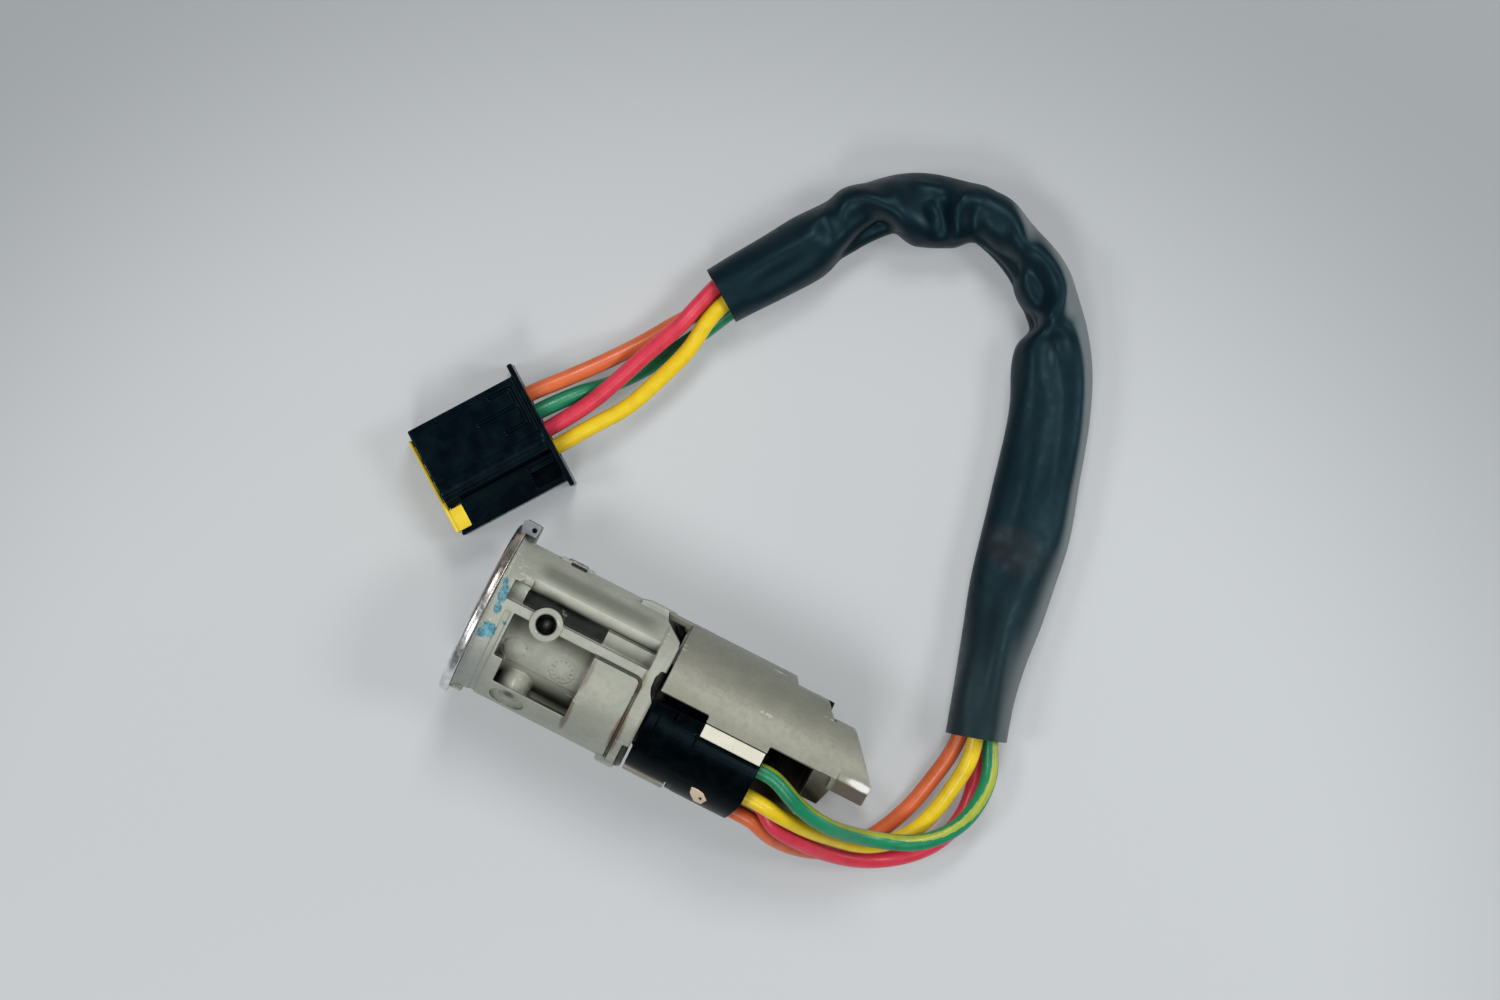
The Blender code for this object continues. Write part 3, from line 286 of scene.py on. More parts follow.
    # edges rubbed bright, with small nicks
    edge = calc(nt, "MULTIPLY", span(nt, pointiness(nt), 0.510, 0.575), span(nt, noise_tex(nt, 1300.0, 4.0), 0.35, 0.60))
    col = mix(nt, calc(nt, "MULTIPLY", edge, 0.55), col, (0.62, 0.61, 0.56))
    nick = calc(nt, "MULTIPLY", span(nt, pointiness(nt), 0.515, 0.56),
                span(nt, noise_tex(nt, 2600.0, 2.0), 0.70, 0.78))
    col = mix(nt, nick, col, (0.85, 0.82, 0.74))
    nt.links.new(col, b.inputs["Base Color"])
    b.inputs["Metallic"].default_value = 0.25
    r = calc(nt, "ADD", rough, calc(nt, "MULTIPLY", calc(nt, "SUBTRACT", mid, 0.5), 0.25))
    r = calc(nt, "SUBTRACT", r, calc(nt, "MULTIPLY", edge, 0.12))
    if front:
        r = calc(nt, "MULTIPLY", r, calc(nt, "SUBTRACT", 1.0, calc(nt, "MULTIPLY", paint, 0.25)))
    nt.links.new(r, b.inputs["Roughness"])
    low = add_bump(nt, b, mid, 0.22, 0.00035)
    add_bump(nt, b, fine, 0.30, 0.00008, low)
    return m


def ring_material():
    m, nt, b = shader("polished_ring_look")
    wide = noise_tex(nt, 170.0, 3.0, 0.6)
    mid = noise_tex(nt, 800.0, 4.0, 0.65)
    col = mix(nt, span(nt, wide, 0.42, 0.62), (0.84, 0.85, 0.86), (0.62, 0.60, 0.57))
    tarn = calc(nt, "MULTIPLY", blob(nt, lock_point(1.0, 12.0, 17.0), (3 * MM, 11 * MM, 9 * MM), 0.5, 0.4, 500.0), 0.8)
    col = mix(nt, tarn, col, (0.34, 0.29, 0.24))
    col = mix(nt, span(nt, mid, 0.62, 0.72, 0.0, 0.30), col, (0.30, 0.27, 0.24))
    nt.links.new(col, b.inputs["Base Color"])
    b.inputs["Metallic"].default_value = 1.0
    nt.links.new(span(nt, mid, 0.35, 0.75, 0.24, 0.48), b.inputs["Roughness"])
    lines = noise_tex(nt, 2200.0, 2.0, 0.5, stretch=(3.0, 0.4, 0.4))
    add_bump(nt, b, lines, 0.12, 0.00006)
    return m


def steel_material(name, base=(0.44, 0.44, 0.43), rough=0.34):
    m, nt, b = shader(name)
    mid = noise_tex(nt, 900.0, 4.0, 0.6)
    col = mix(nt, span(nt, mid, 0.35, 0.7), base, tuple(c * 0.72 for c in base))
    edge = span(nt, pointiness(nt), 0.52, 0.60)
    col = mix(nt, calc(nt, "MULTIPLY", edge, 0.5), col, tuple(min(0.72, c * 1.9) for c in base))
    nt.links.new(col, b.inputs["Base Color"])
    b.inputs["Metallic"].default_value = 1.0
    nt.links.new(span(nt, mid, 0.3, 0.8, rough - 0.08, rough + 0.18), b.inputs["Roughness"])
    add_bump(nt, b, noise_tex(nt, 3200.0, 2.0, 0.5, stretch=(0.25, 1.0, 1.0)), 0.15, 0.00005)
    return m


def plastic_material(name, base, light, rough=0.36, grain=0.10, wear=0.35, wear_col=(0.10, 0.12, 0.13), dust=0.0,
                     shine=0.5):
    m, nt, b = shader(name)
    mid = noise_tex(nt, 260.0, 4.0, 0.6)
    fine = noise_tex(nt, 4200.0, 2.0, 0.5)
    col = mix(nt, span(nt, mid, 0.35, 0.7), base, light)
    edge = calc(nt, "MULTIPLY", span(nt, pointiness(nt), 0.512, 0.575), span(nt, noise_tex(nt, 1500.0, 3.0), 0.35, 0.62))
    col = mix(nt, calc(nt, "MULTIPLY", edge, wear), col, wear_col)
    if dust:
        speck = span(nt, noise_tex(nt, 2600.0, 3.0), 0.66, 0.76)
        col = mix(nt, calc(nt, "MULTIPLY", speck, dust), col, (0.10, 0.10, 0.095))
    # painted shade: the colour darkens where ambient occlusion finds the surface shut in
    ao = node(nt, "ShaderNodeAmbientOcclusion")
    ao.samples = 4
    ao.inputs["Distance"].default_value = 0.004
    open_ = span(nt, ao.outputs["AO"], 0.35, 0.95, 0.0 if shine < 0.3 else 0.6, 1.0)
    col = mix(nt, open_, tuple(c * 0.3 for c in base), col)
    nt.links.new(col, b.inputs["Base Color"])
    b.inputs["Specular IOR Level"].default_value = shine
    if shine < 0.3:
        b.inputs["Specular Tint"].default_value = (0.45, 0.86, 1.0, 1.0)
    gloss = span(nt, mid, 0.3, 0.75, rough - 0.03, rough + 0.06)
    shut = calc(nt, "MULTIPLY", calc(nt, "SUBTRACT", 1.0, open_), 0.5)
    nt.links.new(calc(nt, "ADD", gloss, shut), b.inputs["Roughness"])
    low = add_bump(nt, b, mid, 0.03, 0.0004)
    add_bump(nt, b, fine, grain, 0.00006, low)
    return m


def wire_material(name, base, dark, rough=0.33):
    m, nt, b = shader(name)
    mid = noise_tex(nt, 240.0, 4.0, 0.6)
    fine = noise_tex(nt, 2400.0, 3.0, 0.6)
    col = mix(nt, span(nt, mid, 0.40, 0.80, 0.0, 0.55), base, dark)
    col = mix(nt, span(nt, fine, 0.68, 0.80, 0.0, 0.25), col, tuple(c * 0.55 for c in dark))
    # painted shade: the colour darkens where ambient occlusion finds the wire shut in
    ao = node(nt, "ShaderNodeAmbientOcclusion")
    ao.samples = 4
    ao.inputs["Distance"].default_value = 0.0035
    shut = span(nt, ao.outputs["AO"], 0.25, 0.9, 0.55, 0.0)
    col = mix(nt, shut, col, tuple(c * 0.45 for c in dark))
    nt.links.new(col, b.inputs["Base Color"])
    b.inputs["Specular IOR Level"].default_value = 0.5
    nt.links.new(span(nt, fine, 0.3, 0.8, rough - 0.05, rough + 0.15), b.inputs["Roughness"])
    low = add_bump(nt, b, mid, 0.12, 0.0005)
    add_bump(nt, b, fine, 0.06, 0.00006, low)
    return m


def sleeve_material():
    m, nt, b = shader("sleeve_look")
    big = noise_tex(nt, 60.0, 3.0, 0.55)
    mid = noise_tex(nt, 420.0, 4.0, 0.6)
    fine = noise_tex(nt, 3000.0, 2.0, 0.6)
    col = mix(nt, span(nt, big, 0.35, 0.65), (0.0014, 0.0065, 0.0115), (0.0030, 0.0095, 0.0150))
    col = mix(nt, span(nt, mid, 0.62, 0.80, 0.0, 0.25), col, (0.010, 0.015, 0.018))
    dust = span(nt, fine, 0.66, 0.80, 0.0, 0.22)
    col = mix(nt, dust, col, (0.030, 0.034, 0.034))
    # paler towards the low end of the sleeve
    low_end = span(nt, vcalc(nt, "DOT_PRODUCT", coords(nt), (0.0, 1.0, 0.0)), 0.075, 0.020)
    col = mix(nt, calc(nt, "MULTIPLY", low_end, 0.55), col, (0.022, 0.030, 0.032))
    # faint rubbed patch half way down the long side
    rub = blob(nt, (*[c * MM for c in plan(1012, 548)], 0.016), (0.0085, 0.0050, 0.008), 0.45, 0.4, 420.0)
    col = mix(nt, calc(nt, "MULTIPLY", rub, 0.22), col, (0.060, 0.034, 0.030))
    b.inputs["Specular IOR Level"].default_value = 0.27
    b.inputs["Specular Tint"].default_value = (0.42, 0.88, 1.0, 1.0)
    # painted highlight: a pale reflection painted on the outer flank of the bend
    flank = vcalc(nt, "DOT_PRODUCT", node(nt, "ShaderNodeNewGeometry").outputs["Normal"], (0.885, 0.450, 0.10))
    along = span(nt, vcalc(nt, "DOT_PRODUCT", coords(nt), (0.891, 0.454, 0.0)), 0.066, 0.090)
    # it lies on the upper half of the flank only, and thins out with the noise
    rise = vcalc(nt, "DOT_PRODUCT", node(nt, "ShaderNodeNewGeometry").outputs["Normal"], (0.0, 0.0, 1.0))
    rim_highlight = calc(nt, "MULTIPLY", calc(nt, "MULTIPLY", span(nt, flank, 0.52, 0.86), along), span(nt, rise, -0.05, 0.22))
    col = mix(nt, calc(nt, "MULTIPLY", rim_highlight, calc(nt, "ADD", 0.62, calc(nt, "MULTIPLY", big, 0.3))), col, (0.185, 0.203, 0.203))
    nt.links.new(col, b.inputs["Base Color"])
    nt.links.new(span(nt, mid, 0.25, 0.8, 0.38, 0.52), b.inputs["Roughness"])
    low = add_bump(nt, b, big, 0.15, 0.0016)
    low = add_bump(nt, b, mid, 0.05, 0.00035, low)
    add_bump(nt, b, fine, 0.05, 0.00006, low)
    return m


ZINC = zinc_material("zinc_front_look", (0.335, 0.352, 0.295), (0.400, 0.410, 0.350), 0.56, True)
ZINC2 = zinc_material("zinc_rear_look", (0.252, 0.255, 0.205), (0.305, 0.303, 0.250), 0.47, False)
RING = ring_material()
STEEL = steel_material("steel_look")
DARKSTEEL = steel_material("dark_steel_look", (0.20, 0.20, 0.195), 0.42)
OILY = steel_material("oily_steel_look", (0.0060, 0.0058, 0.0052), 0.58)
BRASS = steel_material("brass_look", (0.52, 0.36, 0.14), 0.32)
BLACK = plastic_material("black_plastic_look", (0.0006, 0.0012, 0.0020), (0.0014, 0.0030, 0.0042), 0.22, 0.05, 0.30,
                         (0.014, 0.028, 0.034), 0.05, 0.045)
CONNECTOR = plastic_material("connector_look", (0.0008, 0.0020, 0.0045), (0.0018, 0.0060, 0.0085), 0.25, 0.05, 0.25,
                             (0.014, 0.030, 0.036), 0.03, 0.12)
CREAM = plastic_material("cream_look", (0.70, 0.69, 0.56), (0.76, 0.74, 0.62), 0.42, 0.08, 0.3, (0.86, 0.84, 0.74))
CREAM2 = plastic_material("tab_look", (0.72, 0.52, 0.34), (0.80, 0.64, 0.46), 0.42, 0.08, 0.3, (0.86, 0.78, 0.62))
YELLOW = plastic_material("yellow_look", (0.80, 0.58, 0.015), (0.86, 0.66, 0.03), 0.38, 0.08, 0.3, (0.92, 0.80, 0.25))
SLEEVE = sleeve_material()
WIRE_MATS = {
    "orange": wire_material("orange_look", (0.72, 0.150, 0.045), (0.50, 0.075, 0.020)),
    "red": wire_material("red_look", (0.72, 0.040, 0.080), (0.48, 0.015, 0.040)),
    "yellow": wire_material("yellow_wire_look", (0.84, 0.60, 0.010), (0.62, 0.38, 0.005)),
    "green": wire_material("green_look", (0.005, 0.235, 0.105), (0.002, 0.115, 0.060)),
}
STRIPE = wire_material("green_stripe_look", (0.36, 0.42, 0.035), (0.19, 0.24, 0.02))

CAD_LOOKS = {"brass": BRASS, "steel": STEEL, "cream_plastic": CREAM, "black_plastic": BLACK,
             "yellow_plastic": YELLOW, "zinc_front": ZINC, "zinc_rear": ZINC2, "polished_ring": RING,
             "sleeve_black": SLEEVE}
slot_of = {s["node"]: s["material_slot"] for s in frame["record"]["subparts"]}
for name, ob in frame["nodes"].items():
    look = CAD_LOOKS.get(slot_of.get(name, ""), STEEL)
    if name in ("tail_shaft", "contact_rotor", "contact_bridge"):
        look = OILY
    ob.data.materials.clear()
    ob.data.materials.append(look)


# ---------------------------------------------------------------- cords
def smooth(points, step, rounds=60, per=24):
    """Centripetal spline through the points, read at an even step along it."""
    p = [Vector(q) for q in points]
    p = [p[0] * 2 - p[1]] + p + [p[-1] * 2 - p[-2]]
    dense = []
    for i in range(1, len(p) - 2):
        p0, p1, p2, p3 = p[i - 1], p[i], p[i + 1], p[i + 2]
        t0 = 0.0
        t1 = t0 + max((p1 - p0).length, 1e-6) ** 0.5
        t2 = t1 + max((p2 - p1).length, 1e-6) ** 0.5
        t3 = t2 + max((p3 - p2).length, 1e-6) ** 0.5
        for k in range(per):
            t = t1 + (t2 - t1) * k / per
            a1 = p0 * ((t1 - t) / (t1 - t0)) + p1 * ((t - t0) / (t1 - t0))
            a2 = p1 * ((t2 - t) / (t2 - t1)) + p2 * ((t - t1) / (t2 - t1))
            a3 = p2 * ((t3 - t) / (t3 - t2)) + p3 * ((t - t2) / (t3 - t2))
            b1 = a1 * ((t2 - t) / (t2 - t0)) + a2 * ((t - t0) / (t2 - t0))
            b2 = a2 * ((t3 - t) / (t3 - t1)) + a3 * ((t - t1) / (t3 - t1))
            dense.append(b1 * ((t2 - t) / (t2 - t1)) + b2 * ((t - t1) / (t2 - t1)))
    dense.append(p[-2].copy())
    for _ in range(rounds):
        q = [v.copy() for v in dense]
        for i in range(2, len(dense) - 2):
            q[i] = (dense[i - 1] + dense[i] * 2 + dense[i + 1]) / 4
        dense = q
    total = [0.0]
    for a, b in zip(dense, dense[1:]):
        total.append(total[-1] + (b - a).length)
    n = max(2, int(round(total[-1] / step)))
    out, k = [], 0
    for i in range(n + 1):
        s = total[-1] * i / n
        while k < len(total) - 2 and total[k + 1] < s:
            k += 1
        w = (s - total[k]) / max(total[k + 1] - total[k], 1e-9)
        out.append(dense[k].lerp(dense[k + 1], min(max(w, 0.0), 1.0)))
    return out, total[-1]


SLEEVE_PLAN = [(721, 294.5), (775, 264), (835, 229), (885, 205), (925, 200), (962, 207), (997, 225), (1026, 252),
               (1045, 286), (1054, 326), (1055, 370), (1050, 419), (1040, 481), (1028, 538), (1016, 583),
               (1004, 626), (993, 666), (984, 700), (977, 739)]
SL, SL_LEN = smooth([(*plan(px, py), SLEEVE_H) for px, py in SLEEVE_PLAN], 8.8)

WIRES = {"green": (-4.3, 13.2), "yellow": (-11.4, 9.0), "orange": (-16.2, 1.4), "red": (-11.9, 3.6)}
MOUTH = {"green": (3.2, -2.3), "yellow": (2.5, 2.0), "red": (-2.0, 3.1), "orange": (-2.4, -1.5)}
MOUTH_TURN = 25.0
SWAPPED = {"green": (2.5, 2.0), "yellow": (3.2, -2.3), "red": (-2.0, 3.1), "orange": (-2.4, -1.5)}
EVEN = {"green": 45.0, "red": 135.0, "orange": 225.0, "yellow": 315.0}
SWAP0, SWAP1 = 10.0, 84.0
RUN_LOCK = {
    "green": [(797, 802, 33.0), (826, 824, 26.5), (856, 836, 17.5), (886, 843, 12.2), (914, 845, 11.3), (941, 839, 10.6),
              (966, 823, 9.6), (983, 800, 8.6), (992, 774, 7.8)],
    "yellow": [(778, 812, 29.3), (806, 828, 22.9), (836, 840, 14.6), (864, 848, 8.9), (892, 845, 7.3), (918, 832, 6.9),
               (940, 810, 7.0), (958, 784, 8.6), (971, 762, 10.2)],
    "orange": [(768, 835, 19.9), (794, 849, 11.8), (822, 855, 5.2), (850, 851, 2.4), (874, 840, 2.3), (896, 824, 2.3),
               (915, 806, 2.8), (934, 782, 4.4), (952, 757, 6.2)],
    "red": [(772, 824, 24.8), (800, 842, 19.4), (832, 857, 10.6), (864, 864, 4.9), (893, 863, 2.7), (921, 856, 2.3),
            (946, 842, 2.3), (966, 818, 2.6), (976, 790, 3.2), (979, 766, 3.9)],
}
RUN_PLUG = {
    "orange": [(566, 377, 8.2), (602, 361, 6.4), (640, 342, 4.6), (676, 321, 4.2), (703, 307, 4.0)],
    "green": [(580, 391.5, 6.8), (606, 384, 3.8), (638, 370, 2.4), (670, 351, 2.6), (703, 330, 6.2)],
    "red": [(588, 403, 9.4), (616, 380, 10.4), (647, 352, 11.6), (678, 326, 12.0), (700, 302, 10.9)],
    "yellow": [(594, 424, 9.3), (626, 407, 9.5), (658, 379, 9.6), (690, 347, 9.9), (707, 320, 10.9)],
}


def sleeve_frame(s):
    n = len(SL) - 1
    f = min(max(s / SL_LEN, 0.0), 1.0) * n
    k = min(int(f), n - 1)
    w = f - k
    c = SL[k].lerp(SL[k + 1], w)
    t = (SL[min(k + 2, n)] - SL[max(k - 1, 0)]).normalized()
    return c, t, Vector((t.y, -t.x, 0.0)).normalized()


def ease(w):
    w = min(max(w, 0.0), 1.0)
    return w * w * (3 - 2 * w)


def wire_place(colour, s):
    w = ease((s - SWAP0) / (SWAP1 - SWAP0))
    if w < 1.0:
        bump = math.sin(math.pi * w)
        x, y = MOUTH[colour]
        if colour in ("green", "yellow"):
            gx, gy = MOUTH["green"]
            yx, yy = MOUTH["yellow"]
            mx, my = (gx + yx) / 2, (gy + yy) / 2
            dx, dy = x - mx, y - my
            c, t = math.cos(math.pi * w), math.sin(math.pi * w)
            return mx + dx * c - dy * t - 0.6 * bump, my + dx * t + dy * c - 0.3 * bump
        r = math.hypot(x, y)
        k = 1.0 + (4.95 / r - 1.0) * bump
        return x * k, y * k
    q = ease((s - SWAP1) / (SL_LEN - 8.0 - SWAP1))
    rho = 3.3
    e = math.radians(EVEN[colour])
    x = SWAPPED[colour][0] * (1 - q) + rho * math.cos(e) * q
    y = SWAPPED[colour][1] * (1 - q) + rho * math.sin(e) * q
    a = math.radians(135.0 * q)
    return x * math.cos(a) - y * math.sin(a), x * math.sin(a) + y * math.cos(a) - 0.8 * q


def place_along(px, py):
    """Arc length on the sleeve's line nearest to a point of the plan grid."""
    q = Vector((*plan(px, py), SLEEVE_H))
    k = min(range(len(SL)), key=lambda i: (SL[i] - q).length)
    return SL_LEN * k / (len(SL) - 1)


SHIFTS = [(place_along(1054, 326), 1.7, 8.0), (place_along(885, 205), 1.1, 8.0)]


def wire_offset(colour, s):
    x, y = wire_place(colour, s)
    a = math.radians(MOUTH_TURN * (1 - ease((s - 4.0) / 30.0)))
    # the bundle lies to the outside where the sleeve is nipped on its inner side
    side = sum(amount * math.exp(-((s - s0) / width) ** 2) for s0, amount, width in SHIFTS)
    return x * math.cos(a) - y * math.sin(a) - side, x * math.sin(a) + y * math.cos(a)


def con_point(x, y, z):
    c, s = math.cos(CON_TURN), math.sin(CON_TURN)
    return Vector((CON_X + c * x - s * y, CON_Y + s * x + c * y, z))


def wire_route(colour):
    y, z = WIRES[colour]
    lx, ly, lz = AXIS_X, AXIS_Y + y, AXIS_Z + z
    pts = [(lx + 72.7, ly, lz), (lx + 77.0, ly, lz), (lx + 81.5, ly - 0.15, lz)]
    for px, py, h in RUN_LOCK[colour]:
        pts.append((*plan(px, py), h))
    s = SL_LEN - 2.0
    while s > 3.0:
        c, t, inner = sleeve_frame(s)
        a, b = wire_offset(colour, s)
        v = c + inner * a
        pts.append((v.x, v.y, c.z + b))
        s -= 9.0
    for px, py, h in reversed(RUN_PLUG[colour]):
        pts.append((*plan(px, py), h))
    cy = CON_Y0 - CON_PITCH * CON_ROW[colour]
    for cx in (13.5, 11.0, 7.0, 3.8):
        v = con_point(cx, cy, CON_H)
        pts.append((v.x, v.y, v.z))
    return pts


def mesh_object(name, verts, faces, mat=None, scale=MM):
    me = bpy.data.meshes.new(name)
    me.from_pydata([(v[0] * scale, v[1] * scale, v[2] * scale) for v in verts], [], faces)
    me.update()
    ob = bpy.data.objects.new(name, me)
    scene.collection.objects.link(ob)
    if mat is not None:
        me.materials.append(mat)
    return ob


def fixed(ob):
    bm = bmesh.new()
    bm.from_mesh(ob.data)
    bmesh.ops.recalc_face_normals(bm, faces=bm.faces)
    bm.to_mesh(ob.data)
    bm.free()
    return ob


def swept(name, path, radius, sides, mats, stripe=None):
    """A round tube along a dense path, with rounded ends; stripe(f, t, d) is true for directions inside the band."""
    n = len(path)
    verts, faces, slots = [], [], []
    side = Vector((0, 0, 1)).cross((path[1] - path[0]).normalized()).normalized()
    ups = []
    for i, c in enumerate(path):
        t = (path[min(i + 1, n - 1)] - path[max(i - 1, 0)]).normalized()
        side = (side - t * side.dot(t)).normalized()
        up = t.cross(side)
        ups.append((t, side.copy(), up))
        near = min(i, n - 1 - i)
        r = radius * (0.86 if near == 0 else 0.97 if near == 1 else 1.0)
        for k in range(sides):
            a = 2 * math.pi * k / sides
            verts.append(tuple(c + side * (r * math.cos(a)) + up * (r * math.sin(a))))
    for i in range(n - 1):
        t, sd, up = ups[i]
        for k in range(sides):
            j = (k + 1) % sides
            faces.append((i * sides + k, i * sides + j, (i + 1) * sides + j, (i + 1) * sides + k))
            hit = 0
            if stripe is not None:
                a = 2 * math.pi * (k + 0.5) / sides
                d = sd * math.cos(a) + up * math.sin(a)
                hit = 1 if stripe(i / (n - 1), t, d) else 0
            slots.append(hit)
    faces.append(tuple(range(sides))[::-1])
    faces.append(tuple(range((n - 1) * sides, n * sides)))
    slots += [0, 0]
    ob = mesh_object(name, verts, faces)
    for m in mats:
        ob.data.materials.append(m)
    ob.data.polygons.foreach_set("material_index", slots)
    ob.data.shade_smooth()
    ob.data.set_sharp_from_angle(angle=math.radians(50))
    return ob


def green_stripe(f, t, d):
    """The lighter band runs on the wire's upper left side at the module and crosses to its outer side in the bend."""
    left = Vector((-t.y, t.x, 0.0))
    if left.length < 1e-6:
        return False
    left.normalize()
    up = t.cross(left) * -1
    if up.z < 0:
        up = -up
    stops = [(0.0, 22.0), (0.08, 26.0), (0.135, 40.0), (0.165, 58.0), (0.195, 86.0), (0.225, 118.0), (0.26, 140.0),
             (0.31, 142.0), (0.55, 200.0), (0.75, 262.0), (1.0, 262.0)]
    a = stops[-1][1]
    for (f0, a0), (f1, a1) in zip(stops, stops[1:]):
        if f0 <= f <= f1:
            a = a0 + (a1 - a0) * (f - f0) / (f1 - f0)
            break
    a = math.radians(a)
    mid = left * math.cos(a) + up * math.sin(a)
    return d.dot(mid) > math.cos(math.radians(30.0 if 0.2 < f < 0.4 else 24.0))


WIRE_PATHS, WIRE_OBS, WIRE_LEN = {}, {}, {}
for colour in ("orange", "red", "yellow", "green"):
    path, length = smooth(wire_route(colour), 0.5 if colour == "green" else 0.9)
    WIRE_PATHS[colour] = path
    WIRE_LEN[colour] = length
    ob = swept("insulated_wire_" + colour, path, WIRE_D / 2, 60 if colour == "green" else 28, [WIRE_MATS[colour]] + ([STRIPE] if colour == "green" else []),
               green_stripe if colour == "green" else None)
    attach(ob, "root")
    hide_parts("wire_" + colour)
    WIRE_OBS[colour] = ob


# ---------------------------------------------------------------- sleeve
OUTER_EDGE = [(707, 268), (760, 235), (830, 195), (880, 176), (920, 171), (960, 178), (1000, 195), (1040, 230), (1065, 265),
              (1085, 310), (1095, 363), (1092, 418), (1083, 481), (1072, 543), (1058, 585), (1043, 627), (1027, 666),
              (1018, 698), (1010, 737)]
INNER_EDGE = [(735, 321), (790, 292), (830, 270), (850, 245), (868, 226), (885, 221), (905, 238), (925, 246), (950, 247),
              (978, 240), (998, 252), (1018, 262), (1015, 286), (1026, 310), (1041, 323), (1022, 338), (1013, 360),
              (1011, 402), (1004, 444), (993, 491), (983, 533), (974, 577), (966, 624), (957, 671), (948, 727)]

# soft pleats: a line on the plan grid, its width and height in millimetres (negative is a hollow)
PLEATS = [
    ([(832, 210), (852, 197), (878, 203), (897, 220), (912, 238)], 2.7, 1.9),
    ([(848, 222), (866, 214), (886, 222), (900, 238)], 2.0, -1.2),
    ([(896, 186), (902, 203), (917, 219), (936, 236)], 2.3, 1.7),
    ([(812, 208), (826, 206), (829, 226), (834, 247)], 2.8, -1.5),
    ([(935, 196), (941, 214), (943, 238)], 3.6, -2.0),
    ([(982, 192), (963, 200), (956, 217), (958, 240)], 2.5, 1.9),
    ([(978, 206), (973, 222), (976, 240)], 2.8, -1.7),
    ([(988, 196), (1005, 206), (1016, 224), (1019, 246), (1018, 264)], 2.5, 1.8),
    ([(1024, 238), (1042, 252), (1057, 272), (1062, 292), (1054, 310), (1042, 322)], 2.6, 1.7),
    ([(1026, 262), (1037, 280), (1043, 296), (1039, 312)], 3.1, -1.9),
    ([(1044, 330), (1056, 344), (1058, 366)], 2.8, -1.1),
    ([(1024, 346), (1034, 352), (1036, 372), (1033, 392)], 3.2, 1.0),
    ([(1076, 330), (1083, 370), (1081, 420), (1074, 470)], 2.4, 0.45),
    ([(1064, 360), (1068, 410), (1061, 470), (1048, 540)], 3.2, -0.8),
    ([(1038, 430), (1030, 480), (1019, 530), (1008, 580)], 3.0, 0.7),
    ([(985, 545), (998, 541), (1012, 546)], 1.0, -0.35),
    ([(1002, 566), (1014, 562), (1026, 566)], 1.0, 0.30),
    ([(742, 276), (780, 254), (818, 232)], 2.4, 0.55),
    ([(752, 290), (790, 268), (822, 250)], 2.2, -0.45),
    ([(760, 300), (796, 278), (824, 262)], 2.2, 0.35),
    ([(990, 610), (982, 655), (972, 715)], 2.2, -0.55),
    ([(1008, 600), (1000, 650), (990, 712)], 2.4, 0.45),
]


def spline2(points, per=14):
    pts, _ = smooth([(x, y, 0.0) for x, y in points], 1.2, rounds=6, per=per)
    return [(p.x, p.y) for p in pts]


def polyline_hit(c, d, poly, top=22.0):
    """Distance from c along d to a polyline in the plane, or None."""
    best = None
    for (x0, y0), (x1, y1) in zip(poly, poly[1:]):
        ex, ey = x1 - x0, y1 - y0
        det = d.x * (-ey) + ex * d.y
        if abs(det) < 1e-12:
            continue
        rx, ry = x0 - c.x, y0 - c.y
        t = (rx * (-ey) + ex * ry) / det
        w = (d.x * ry - d.y * rx) / det
        if 0.0 <= w <= 1.0 and 0.5 < t < top and (best is None or t < best):
            best = t
    return best


